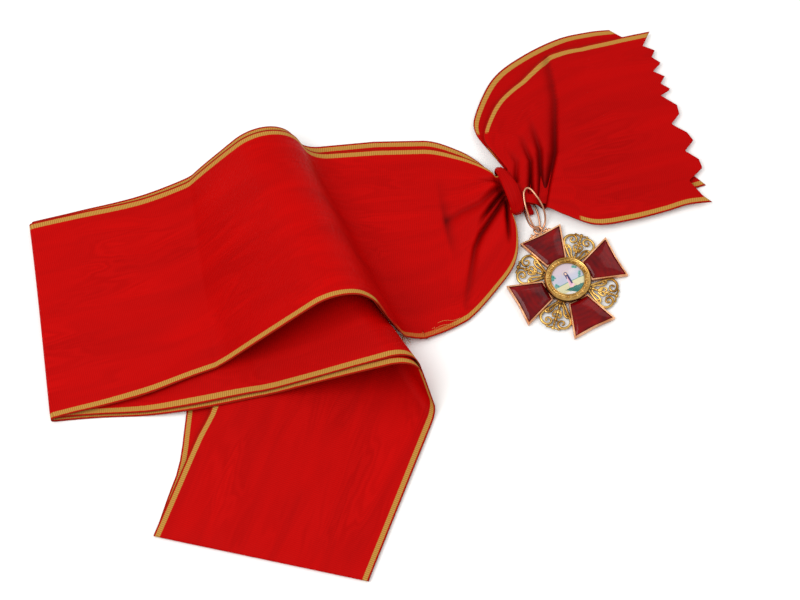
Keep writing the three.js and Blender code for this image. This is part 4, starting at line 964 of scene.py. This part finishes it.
def flared_block(name, inset, bottom, top):
    """A block with an arm's outline, inset all round by so many millimetres."""
    deselect()
    bpy.ops.mesh.primitive_cube_add(size=2)
    block = bpy.context.object
    block.name = name
    slant = (ARM["outer_half"] - ARM["inner_half"]) / (ARM["outer"] - ARM["inner"])
    for corner in block.data.vertices:
        far = corner.co.y > 0
        edge = ARM["outer"] - inset if far else ARM["inner"] + inset
        half = ARM["inner_half"] + (edge - ARM["inner"]) * slant - inset * SLANTED
        corner.co = (half * corner.co.x, edge, top if corner.co.z > 0 else bottom)
    bpy.ops.object.mode_set(mode="EDIT")
    bpy.ops.mesh.select_all(action="SELECT")
    bpy.ops.mesh.bisect(plane_co=(0, 0, 0), plane_no=(1, 0, 0))
    bpy.ops.object.mode_set(mode="OBJECT")
    for corner in block.data.vertices:
        if abs(corner.co.x) < 1e-4 and corner.co.y > ARM["outer"] - inset - 1e-3:
            corner.co.y -= ARM["dip"]
    return block


def copies_round(piece, name, first=0.0):
    """The piece and three copies, a quarter turn apart round the cross, each with its own mesh."""
    made = []
    for k in range(4):
        copy = piece.copy()
        copy.data = piece.data.copy()
        copy.name = f"{name}_{k + 1}"
        copy.data.name = copy.name
        bpy.context.collection.objects.link(copy)
        copy.data.transform(badge_place @ Matrix.Rotation(radians(first + 90 * k), 4, "Z"))
        made.append(copy)
    bpy.data.objects.remove(piece)
    return made


tray = flared_block("arm_tray", 0, ARM["base"], ARM["top"])
select_faces(tray, lambda centre, normal: normal.z > 0.9)
bpy.ops.mesh.inset(thickness=ARM["rim"], depth=0)
bpy.ops.mesh.extrude_region_move(TRANSFORM_OT_translate={"value": (0, 0, ARM["tray"] - ARM["top"])})
bpy.ops.object.mode_set(mode="OBJECT")
finish_edges(tray, 0.16, 3)
arm_trays = copies_round(tray, "arm_tray")

# The round middle in mm: a boss with a foot on its back, hollowed a little, and a shoulder in front
BOSS = {"radius": 10.9, "high": 2.7, "middle": 1.75, "foot": 2.4, "foot_high": 0.35, "hollow": 0.8,
        "hollow_deep": 0.25, "shoulder": 0.5}
deselect()
bpy.ops.mesh.primitive_cylinder_add(vertices=64, radius=BOSS["radius"], depth=BOSS["high"],
                                    location=(0, 0, BOSS["middle"]))
boss = bpy.context.object
boss.name = "round_middle"
select_faces(boss, lambda centre, normal: normal.z < -0.9)
bpy.ops.mesh.inset(thickness=BOSS["foot"], depth=0)
bpy.ops.mesh.extrude_region_move(TRANSFORM_OT_translate={"value": (0, 0, -BOSS["foot_high"])})
bpy.ops.mesh.inset(thickness=BOSS["hollow"], depth=0)
bpy.ops.mesh.extrude_region_move(TRANSFORM_OT_translate={"value": (0, 0, BOSS["hollow_deep"])})
bpy.ops.object.mode_set(mode="OBJECT")
select_faces(boss, lambda centre, normal: normal.z > 0.9)
bpy.ops.mesh.inset(thickness=BOSS["shoulder"], depth=0)
bpy.ops.object.mode_set(mode="OBJECT")
finish_edges(boss, 0.2, 3)
place_mesh(boss, badge_place)

rose_cast = worn_and_shaded_gold("cast_rose_gold", "#e0ab82", "#b9784f", 0.27, 0.7)
for piece in [*arm_trays, boss]:
    piece.data.materials.clear()
    piece.data.materials.append(rose_cast)
    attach(piece, "root")
    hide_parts("cross_frame")

# The openwork between the arms: cast yellow-gold lyres of scrolls, a leafy stem and beads, chased by
# hand, so that each has sharp lights and dark hollows, darkened further with painted shade low down.
# Places are in mm, out from the badge's middle and across from a lyre's own middle line.
SCROLLS = [
    {"line": [(10.6, 1.0), (12.6, 2.6), (15.4, 4.6), (18.2, 6.9), (20.7, 7.6), (23.0, 6.3), (24.0, 4.1),
              (23.4, 2.2), (21.8, 1.5), (20.4, 2.4), (20.2, 4.0), (21.3, 4.9), (22.3, 4.2)],
     "thick": 0.5612, "z": 1.55},
    {"line": [(12.2, 0.9), (13.6, 2.1), (15.6, 2.6), (17.3, 3.5), (18.2, 5.0), (17.6, 6.1), (16.4, 5.7),
              (16.2, 4.6), (17.0, 4.2)], "thick": 0.4636, "z": 1.8},
    {"line": [(15.6, 1.0), (17.2, 2.0), (18.8, 2.1), (19.6, 1.1), (19.0, 0.5)], "thick": 0.4148, "z": 2.0},
    {"line": [(20.6, 7.8), (19.6, 8.3), (18.9, 7.5), (19.6, 6.9)], "thick": 0.366, "z": 1.45},
    {"line": [(24.2, 0.6), (24.9, 1.8), (24.6, 3.2), (23.9, 4.2)], "thick": 0.3904, "z": 1.4},
]
# How much a scroll swells at the middle of its line and tapers toward its end
SWELL, TAPER = 0.25, 0.35
STEM = {"line": [(10.4, 0, 1.4), (15, 0, 1.5), (20, 0, 1.5), (24.4, 0, 1.4)], "thick": 0.55}
BEADS = [(24.7, 0, 1.6, 0.95), (22.0, 4.15, 1.9, 0.62), (16.9, 4.6, 2.0, 0.5), (18.9, 0.9, 2.2, 0.42),
         (25.0, 2.9, 1.5, 0.4), (19.5, 7.7, 1.6, 0.42)]
LEAVES = [  # place out, place across, length, half width, turn in degrees, height
    (12.9, 0, 2.3, 0.62, 0, 2.0), (12.8, 1.15, 2.0, 0.5, 26, 1.8), (12.4, 2.0, 1.6, 0.42, 50, 1.6),
    (16.2, 0, 2.8, 0.75, 0, 2.1), (16.9, 0.95, 2.0, 0.45, 22, 1.9), (19.9, 0, 2.4, 0.6, 0, 2.0),
    (20.7, 0.8, 1.5, 0.36, 30, 1.8), (22.6, 0, 1.7, 0.5, 0, 1.9),
]


# A leaf of unit size: how much it narrows to its point, the vein's depth and sharpness, and its height
LEAF = {"narrows": 0.45, "vein": 0.38, "sharp": 3.2, "high": 0.62}


def leaf(out, across, length, half, turn, height):
    """One chased leaf: a pointed bead of gold with a vein cut down its back."""
    deselect()
    bpy.ops.mesh.primitive_uv_sphere_add(segments=12, ring_count=10, radius=1)
    blade = bpy.context.object
    for corner in blade.data.vertices:
        x, y, z = corner.co.y, corner.co.x, corner.co.z
        point = 1 - LEAF["narrows"] * max(x, 0) ** 2
        vein = LEAF["vein"] * max(z, 0) * max(1 - abs(y) * LEAF["sharp"], 0)
        corner.co = (x * length / 2, y * half * point, (z - vein) * LEAF["high"])
    blade.data.flip_normals()
    bpy.ops.object.shade_smooth()
    blade.rotation_euler = (0, 0, radians(turn))
    blade.location = (out, across, height)
    return blade


def bead(out, across, height, radius):
    deselect()
    bpy.ops.mesh.primitive_uv_sphere_add(segments=14, ring_count=9, radius=radius,
                                         location=(out, across, height))
    bpy.ops.transform.resize(value=(1, 1, 0.82))
    bpy.ops.object.shade_smooth()
    return bpy.context.object


def lyre():
    """Both halves of one lyre and its stem. What stands on the middle line is made once."""
    parts = []
    for side in (1, -1):
        for row in SCROLLS:
            n = len(row["line"]) - 1
            places = [(r, side * t, row["z"]) for r, t in row["line"]]
            thins = [1.0 + SWELL * sin(pi * k / n) - TAPER * (k / n) ** 2 for k in range(n + 1)]
            parts.append(drawn_wire("scroll", places, row["thick"], steps=5, sides=2, thins=thins))
        parts += [bead(r, side * t, z, size) for r, t, z, size in BEADS if side == 1 or t]
        parts += [leaf(r, side * t, length, half, side * turn, z)
                  for r, t, length, half, turn, z in LEAVES if side == 1 or t]
    parts.append(drawn_wire("stem", STEM["line"], STEM["thick"], steps=4, sides=2))
    for part in parts:
        place_mesh(part, Matrix.Identity(4))
    return gather("lyre", parts)


lyres = copies_round(lyre(), "openwork_lyre", 45.0)
# Painted shade darkens the lyres' lower parts, from 1.9 mm above the floor down to 0.7 mm
yellow_cast = worn_and_shaded_gold("chased_yellow_gold", "#e2b968", "#976a2c", 0.3, 0.6, (0.7 * MM, 1.9 * MM))
for piece in lyres:
    piece.data.materials.clear()
    piece.data.materials.append(yellow_cast)
    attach(piece, "root")
    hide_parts("cross_frame")

# The eyelet: a soldered ring of rose gold on a small tongue, with a cluster of beads on either side.
# The wire loop runs through it. Sizes are in mm, and the beads' places are from the arm's end.
EYE = {"radius": 1.85, "wire": 0.52, "high": 2.5}
TONGUE = {"size": (1.9, 1.6, 1.3), "sunk": 0.1, "high": 2.1}
CLUSTER = [(2.5, 0.5, 0.72), (3.6, 0.25, 0.92), (5.0, 0.05, 0.85), (3.9, 1.3, 0.6)]
deselect()
bpy.ops.mesh.primitive_torus_add(major_radius=EYE["radius"], minor_radius=EYE["wire"], major_segments=36,
                                 minor_segments=12, location=(0, EYELET_REACH, EYE["high"]))
eye_ring = bpy.context.object
bpy.ops.object.shade_smooth()
bpy.ops.mesh.primitive_cube_add(size=1, location=(0, SPAN / 2 - TONGUE["sunk"], TONGUE["high"]))
tongue = bpy.context.object
bpy.ops.transform.resize(value=TONGUE["size"])
finish_edges(tongue, 0.2, 3)
cluster = [bead(side * x, SPAN / 2 + y, TONGUE["high"], size) for side in (-1, 1) for x, y, size in CLUSTER]
for part in (eye_ring, tongue, *cluster):
    place_mesh(part, Matrix.Identity(4))
eyelet = gather("eyelet", [eye_ring, tongue, *cluster])
place_mesh(eyelet, badge_place)
eyelet.data.materials.clear()
eyelet.data.materials.append(rose_cast)
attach(eyelet, "root")
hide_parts("cross_frame")

# The enamel of the arms: deep ruby glass fused over engraved gold and polished to a low cushion. It
# is glossy, nearly black-red where it is thick and lets a little warm gold through where it is thin.
CUSHION = {"play": 0.03, "gap": 0.05, "edge": 2.75, "shoulder": 1.5, "rise": 0.55, "crown": 1.6, "last": 0.16}
cushion = flared_block("ruby_enamel", ARM["rim"] + CUSHION["play"], ARM["tray"] + CUSHION["gap"],
                       CUSHION["edge"])
select_faces(cushion, lambda centre, normal: normal.z > 0.9)
bpy.ops.mesh.inset(thickness=CUSHION["shoulder"], depth=0)
bpy.ops.transform.translate(value=(0, 0, CUSHION["rise"]))
bpy.ops.mesh.inset(thickness=CUSHION["crown"], depth=0)
bpy.ops.transform.translate(value=(0, 0, CUSHION["last"]))
bpy.ops.object.mode_set(mode="OBJECT")
finish_edges(cushion, 0.55, 5, 8)
enamel_arms = copies_round(cushion, "ruby_enamel")


def ruby_glass():
    """Transparent ruby enamel. The rays of the engraving under it are too fine to show, so they are
    drawn 2.4 mm apart."""
    material, tree = new_material("ruby_enamel_over_engraving")
    where = add_node(tree, "ShaderNodeTexCoord")
    centre = badge_place @ Vector((0, 0, 0))
    local = add_node(tree, "ShaderNodeMapping", {"vector_type": "POINT"},
                     {"Location": (-centre.x, -centre.y, 0)},
                     {"Vector": where.outputs["Object"]})
    clouds = add_node(tree, NOISE, sockets={"Scale": 1 / (9 * MM), "Detail": 2.5, "Distortion": 0.6},
                      links={"Vector": local.outputs[0]})
    rays = add_node(tree, "ShaderNodeTexWave", {"wave_type": "RINGS", "rings_direction": "SPHERICAL"},
                    {"Scale": 1 / (7.5 * MM), "Distortion": 2.5, "Detail": 2.0, "Detail Scale": 2.0},
                    {"Vector": local.outputs[0]})
    tone = add_node(tree, RANGE, sockets={"From Min": 0.25, "From Max": 0.85},
                    links={"Value": clouds.outputs[0]})
    lit = add_node(tree, MATH, {"operation": "MULTIPLY_ADD", "use_clamp": True}, {1: 0.14},
                   {0: rays.outputs["Fac"], 2: tone.outputs[0]})
    colour = add_node(tree, MIX, {"data_type": "RGBA"}, {6: linear("#34040a"), 7: linear("#820203")},
                      {0: lit.outputs[0]})
    specks = add_node(tree, NOISE, sockets={"Scale": 1 / (0.5 * MM), "Detail": 1.0},
                      links={"Vector": local.outputs[0]})
    rough = add_node(tree, RANGE, sockets={"To Min": 0.05, "To Max": 0.16},
                     links={"Value": specks.outputs[0]})
    shader = add_node(tree, "ShaderNodeBsdfPrincipled",
                      sockets={"IOR": 1.5, "Specular IOR Level": 0.16, "Coat Weight": 0.04,
                               "Coat Roughness": 0.05},
                      links={"Base Color": colour.outputs[2], "Roughness": rough.outputs[0]})
    add_node(tree, "ShaderNodeOutputMaterial", links={"Surface": shader.outputs[0]})
    return material


ruby = ruby_glass()
for k, piece in enumerate(enamel_arms):
    piece.data.materials.clear()
    piece.data.materials.append(ruby)
    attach(piece, "root")
    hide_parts(f"enamel_arm_{k + 1}")

# The ring round the middle: a turned gold band with a matted channel, crossed by bright bars and with
# two small chased leaves in each panel between them. Its profile is given as distance from the middle
# and height in mm, from the inner foot round over the channel.
RING_PROFILE = [(8.0, 3.5), (11.35, 3.5), (11.4, 4.6), (11.15, 5.3), (10.85, 5.9), (10.55, 6.15), (10.2, 6.0),
                (10.05, 5.5), (9.7, 5.35), (9.0, 5.35), (8.65, 5.5), (8.5, 5.95), (8.25, 6.05), (8.0, 5.75)]
BARS = 18
CHANNEL = 9.35
BAR = {"size": (1.7, 0.34, 0.8), "high": 5.55}
# Two small leaves to a panel: length, half width, height, and radians off the panel's middle in place
# and in direction
PANEL_LEAF = {"length": 1.15, "half": 0.24, "high": 5.4, "place": 0.045, "turn": 0.9, "flat": 0.6}
deselect()
start_radius, start_height = RING_PROFILE[0]
bpy.ops.mesh.primitive_circle_add(vertices=108, radius=start_radius, location=(0, 0, start_height))
band_ring = bpy.context.object
bpy.ops.object.mode_set(mode="EDIT")
bpy.ops.mesh.select_all(action="SELECT")
for (r0, z0), (r1, z1) in zip(RING_PROFILE, RING_PROFILE[1:] + RING_PROFILE[:1]):
    bpy.ops.mesh.extrude_edges_move(TRANSFORM_OT_translate={"value": (0, 0, z1 - z0)})
    bpy.ops.transform.resize(value=(r1 / r0, r1 / r0, 1), center_override=(0, 0, z1))
bpy.ops.mesh.select_all(action="SELECT")
bpy.ops.mesh.remove_doubles(threshold=0.0005)
bpy.ops.mesh.normals_make_consistent(inside=False)
bpy.ops.object.mode_set(mode="OBJECT")
bpy.ops.object.shade_smooth_by_angle(angle=radians(50))
ring_parts = [band_ring]
for k in range(BARS):
    turn = 2 * pi * (k + 0.5) / BARS
    deselect()
    bpy.ops.mesh.primitive_cube_add(size=1, location=(CHANNEL * cos(turn), CHANNEL * sin(turn), BAR["high"]),
                                    rotation=(0, 0, turn))
    bar = bpy.context.object
    bar.scale = BAR["size"]
    bpy.ops.object.transform_apply(location=False, rotation=False, scale=True)
    finish_edges(bar, 0.12, 2)
    ring_parts.append(bar)
    turn += pi / BARS
    for side in (-1, 1):
        small = leaf(0, 0, PANEL_LEAF["length"], PANEL_LEAF["half"], 0, 0)
        place = turn + side * PANEL_LEAF["place"]
        small.rotation_euler = (0, 0, turn + side * PANEL_LEAF["turn"])
        small.location = (CHANNEL * cos(place), CHANNEL * sin(place), PANEL_LEAF["high"])
        small.scale = (1, 1, PANEL_LEAF["flat"])
        ring_parts.append(small)
for part in ring_parts:
    make_active(part)
    bpy.ops.object.transform_apply(location=True, rotation=True, scale=True)
chased_ring = gather("chased_ring", ring_parts)
place_mesh(chased_ring, badge_place)
# Painted shade darkens the ring below 5.5 mm, the channel most, down to 4.7 mm
ring_gold = worn_and_shaded_gold("turned_and_chased_gold", "#dcb36a", "#ac8240", 0.3, 0.35, (4.7 * MM, 5.5 * MM))
chased_ring.data.materials.clear()
chased_ring.data.materials.append(ring_gold)
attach(chased_ring, "root")
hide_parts("medallion_ring")

# The medallion: a slightly domed disc of white enamel, painted with a landscape and a small robed
# figure of no one in particular, and fired under a clear glaze. Shapes are in mm, +Y up the picture.
DISC = {"radius": 8.0, "edge": 4.9, "dome": 0.75, "cells": 220}
PAINT = {
    "sky_high": "#c4b3bb", "sky_low": "#b0b2c2", "shore": "#3f8a80", "meadow": "#c9c49c", "lawn": "#d6d3cf",
    "hill": "#1f6b5f", "hill_dark": "#1b3f4a", "leaf": "#4a9a8b", "leaf_dark": "#2c6a68", "robe": "#26245c",
    "dress": "#dfb4c0", "fold": "#b0607e", "skin": "#e8c3a6", "halo": "#d8b565", "ink": "#3a2c3c",
}
deselect()
bpy.ops.mesh.primitive_grid_add(x_subdivisions=DISC["cells"], y_subdivisions=DISC["cells"], size=2)
picture = bpy.context.object
picture.name = "painted_disc"
flat = np.array([corner.co[:] for corner in picture.data.vertices])
px = flat[:, 0] * np.sqrt(1 - flat[:, 1] ** 2 / 2) * DISC["radius"]
py = flat[:, 1] * np.sqrt(1 - flat[:, 0] ** 2 / 2) * DISC["radius"]
pz = DISC["edge"] + DISC["dome"] * (1 - (px**2 + py**2) / DISC["radius"] ** 2)
picture.data.vertices.foreach_set("co", np.stack([px, py, pz], -1).astype(np.float32).ravel())

paint = np.tile(np.array(linear(PAINT["lawn"])[:3]), (len(px), 1))


def brush(colour, cover):
    """Lays a colour over the picture where cover is 1, blended where it is less."""
    global paint
    cover = np.clip(cover, 0, 1)[:, None]
    paint = paint * (1 - cover) + np.array(linear(PAINT[colour])[:3]) * cover


def soft(distance, width=0.07):
    return 0.5 - distance / (2 * width)


def oval(x, y, half_x, half_y, turn=0.0):
    c, s = cos(radians(turn)), sin(radians(turn))
    u, v = (px - x) * c + (py - y) * s, (py - y) * c - (px - x) * s
    size = min(half_x, half_y)
    return (np.hypot(u / half_x, v / half_y) - 1) * size


def stroke(x0, y0, x1, y1, half0, half1):
    """A brush stroke from one point to another, with its half width at each end."""
    dx, dy = x1 - x0, y1 - y0
    t = np.clip(((px - x0) * dx + (py - y0) * dy) / (dx * dx + dy * dy), 0, 1)
    return np.hypot(px - x0 - t * dx, py - y0 - t * dy) - (half0 + (half1 - half0) * t)


# The landscape: sky, meadow, a dark bank with strokes of grass, the far shore and trees
wobble = 0.12 * np.sin(2.1 * px + 1.3) + 0.07 * np.sin(5.3 * px)
brush("sky_low", soft(-1.8 - py))
brush("sky_high", np.clip((py - 0.2 + 0.5 * np.sin(0.7 * px)) / 4.2, 0, 1) * (py > -1.8))
brush("lawn", 0.35 * np.exp(-((px - 3.5) ** 2) / 3 - (py - 2.6) ** 2 / 1.2))
brush("meadow", np.clip(soft(py + 1.8) * soft(-5.2 - py, 0.9), 0, 1))
brush("hill", soft(np.maximum(py + 4.75 + 0.12 * px * 0.4 + wobble, -3.4 - px + (-4.9 - py) * 1.5)))
brush("hill_dark", 0.8 * soft(np.abs(py + 4.85 + 0.05 * px + wobble) - 0.13, 0.1) * (px > -3.6))
for k in range(9):
    x = -2.4 + 0.95 * k
    brush("hill_dark", 0.6 * soft(stroke(x, -5.3, x + 0.7, -6.4 - 0.1 * k, 0.06, 0.14)))
    brush("leaf", 0.7 * soft(stroke(x + 0.5, -5.4, x + 0.9, -6.0, 0.05, 0.1)))
brush("shore", soft(np.abs(py + 1.78 + 0.3 * wobble) - 0.16))
TREES = [(-5.9, 4.0, 0.8, 1.1), (-6.6, 2.9, 0.7, 0.8), (-5.4, 3.1, 0.5, 0.5), (5.3, 4.4, 0.9, 0.7),
         (6.1, 3.7, 0.8, 0.6), (6.2, -0.2, 0.7, 0.9), (6.8, 0.7, 0.6, 0.7), (5.4, -1.2, 0.5, 0.5),
         (-6.5, -0.3, 0.7, 0.6), (-5.9, -1.2, 0.6, 0.5), (-7.1, -0.9, 0.5, 0.6)]
for x, y, half_x, half_y in TREES:
    brush("leaf", 0.9 * soft(oval(x, y, half_x, half_y) + 0.08 * np.sin(9 * px) * np.sin(8 * py), 0.14))
    brush("leaf_dark", 0.85 * soft(oval(x + 0.15, y - 0.25, half_x * 0.55, half_y * 0.5), 0.16))
brush("leaf_dark", soft(stroke(5.9, -1.8, 6.2, -0.4, 0.09, 0.06)))
brush("leaf_dark", soft(stroke(-6.3, -1.8, -6.4, -0.5, 0.09, 0.06)))
# The figure: dress, cloak, hands, hooded head with a halo
brush("fold", 0.5 * soft(oval(0.4, -4.05, 1.5, 0.22), 0.15))
brush("dress", soft(stroke(0.1, 1.3, -0.05, -3.7, 0.55, 0.95)))
brush("dress", soft(stroke(0.4, -2.6, 1.2, -3.85, 0.35, 0.4)))
for x in (-0.45, -0.05, 0.35):
    brush("fold", 0.75 * soft(stroke(x * 0.5 + 0.1, 0.2, x, -3.7, 0.03, 0.07), 0.06))
brush("robe", soft(stroke(0.55, 1.6, 0.75, -2.7, 0.55, 0.42)))
brush("robe", soft(stroke(-0.35, 1.5, -0.5, 0.2, 0.32, 0.18)))
brush("robe", soft(oval(0.1, 2.55, 0.92, 1.0)))
brush("skin", soft(stroke(-0.05, 0.55, 0.25, 0.75, 0.13, 0.12)))
brush("skin", soft(oval(0.1, 2.55, 0.5, 0.62)))
brush("halo", soft(np.abs(oval(0.1, 2.75, 1.35, 1.35)) - 0.06) * (py > 2.2))
brush("ink", 0.9 * soft(oval(-0.08, 2.62, 0.06, 0.04), 0.03))
brush("ink", 0.9 * soft(oval(0.28, 2.62, 0.06, 0.04), 0.03))
brush("ink", 0.45 * soft(stroke(-0.17, 2.75, 0.0, 2.77, 0.012, 0.012), 0.03))
brush("ink", 0.45 * soft(stroke(0.2, 2.77, 0.37, 2.75, 0.012, 0.012), 0.03))
brush("fold", 0.6 * soft(stroke(0.1, 2.6, 0.12, 2.43, 0.015, 0.03), 0.03))
brush("fold", 0.9 * soft(stroke(0.02, 2.3, 0.18, 2.3, 0.02, 0.02), 0.03))

colours = picture.data.color_attributes.new("paint", "FLOAT_COLOR", "POINT")
painted = np.concatenate([paint, np.ones((len(px), 1))], 1)
colours.data.foreach_set("color", painted.astype(np.float32).ravel())
make_active(picture)
bpy.ops.object.mode_set(mode="EDIT")
bpy.ops.mesh.select_mode(type="EDGE")
bpy.ops.mesh.select_all(action="DESELECT")
bpy.ops.mesh.select_non_manifold()
bpy.ops.mesh.extrude_edges_move(TRANSFORM_OT_translate={"value": (0, 0, -1.0)})
bpy.ops.mesh.edge_face_add()
bpy.ops.object.mode_set(mode="OBJECT")
bpy.ops.object.shade_smooth_by_angle(angle=radians(50))
place_mesh(picture, badge_place)


def painted_enamel():
    """Painting on white enamel under a clear glaze: slightly streaky colour, wet gloss."""
    material, tree = new_material("painted_and_glazed_enamel")
    laid = add_node(tree, "ShaderNodeAttribute", {"attribute_name": "paint"})
    where = add_node(tree, "ShaderNodeTexCoord")
    hairs = add_node(tree, NOISE, sockets={"Scale": 1 / (0.25 * MM), "Detail": 2.0},
                     links={"Vector": where.outputs["Object"]})
    shade = add_node(tree, RANGE, sockets={"To Min": 0.82, "To Max": 1.12}, links={"Value": hairs.outputs[0]})
    streaky = add_node(tree, "ShaderNodeVectorMath", {"operation": "SCALE"},
                       links={0: laid.outputs["Color"], "Scale": shade.outputs[0]})
    rough = add_node(tree, RANGE, sockets={"To Min": 0.12, "To Max": 0.26}, links={"Value": hairs.outputs[0]})
    shader = add_node(tree, "ShaderNodeBsdfPrincipled",
                      sockets={"IOR": 1.5, "Coat Weight": 0.2, "Coat Roughness": 0.08},
                      links={"Base Color": streaky.outputs[0], "Roughness": rough.outputs[0]})
    add_node(tree, "ShaderNodeOutputMaterial", links={"Surface": shader.outputs[0]})
    return material


picture.data.materials.clear()
picture.data.materials.append(painted_enamel())
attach(picture, "root")
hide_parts("medallion_enamel")

# The plain floor that the sash lies on, and soft studio light: a broad lamp high on the left, a
# weaker one on the right and an even pale surround.
FLOOR = {"size": 6.0, "below": 0.0001}
STUDIO = {"colour": "#ffffff", "strength": 0.75}
# Name, place and size in metres, and watts
LAMPS = [("key", (-0.45, -0.15, 1.1), 0.8, 9.0), ("fill", (0.6, 0.5, 0.9), 0.8, 2.5)]
# The camera: metres away, degrees above the floor, and its lens and sensor in mm
CAMERA = {"away": 1.2, "elevation": 70, "lens": 112.32, "sensor": 36}
bpy.ops.mesh.primitive_plane_add(size=FLOOR["size"], location=(0, 0, -FLOOR["below"]))
floor = bpy.context.object
floor.name = "floor"
paper, tree = new_material("white_paper_floor")
paper_shader = add_node(tree, "ShaderNodeBsdfPrincipled",
                        sockets={"Base Color": linear("#f4f3f1"), "Roughness": 0.9})
add_node(tree, "ShaderNodeOutputMaterial", links={"Surface": paper_shader.outputs[0]})
floor.data.materials.append(paper)

bpy.context.scene.view_settings.view_transform = "Standard"
world = bpy.data.worlds.new("studio")
bpy.context.scene.world = world
world.use_nodes = True
backdrop = world.node_tree.nodes["Background"].inputs
backdrop["Color"].default_value = linear(STUDIO["colour"])
backdrop["Strength"].default_value = STUDIO["strength"]
for name, place, size, power in LAMPS:
    lamp = bpy.data.lights.new(name, "AREA")
    lamp.size = size
    lamp.energy = power
    holder = bpy.data.objects.new(name, lamp)
    holder.location = place
    holder.rotation_euler = (Vector((0, 0, 0)) - Vector(place)).to_track_quat("-Z", "Y").to_euler()
    bpy.context.collection.objects.link(holder)

aim = Vector((LIE_SHIFT[0], LIE_SHIFT[1], 0)) * MM
eye = bpy.data.cameras.new("camera")
eye.lens = CAMERA["lens"]
eye.sensor_width = CAMERA["sensor"]
eye.clip_start = 0.01
camera = bpy.data.objects.new("camera", eye)
elevation = radians(CAMERA["elevation"])
camera.location = aim + Vector((0, -CAMERA["away"] * cos(elevation), CAMERA["away"] * sin(elevation)))
camera.rotation_euler = (pi / 2 - elevation, 0, 0)
bpy.context.collection.objects.link(camera)
bpy.context.scene.camera = camera
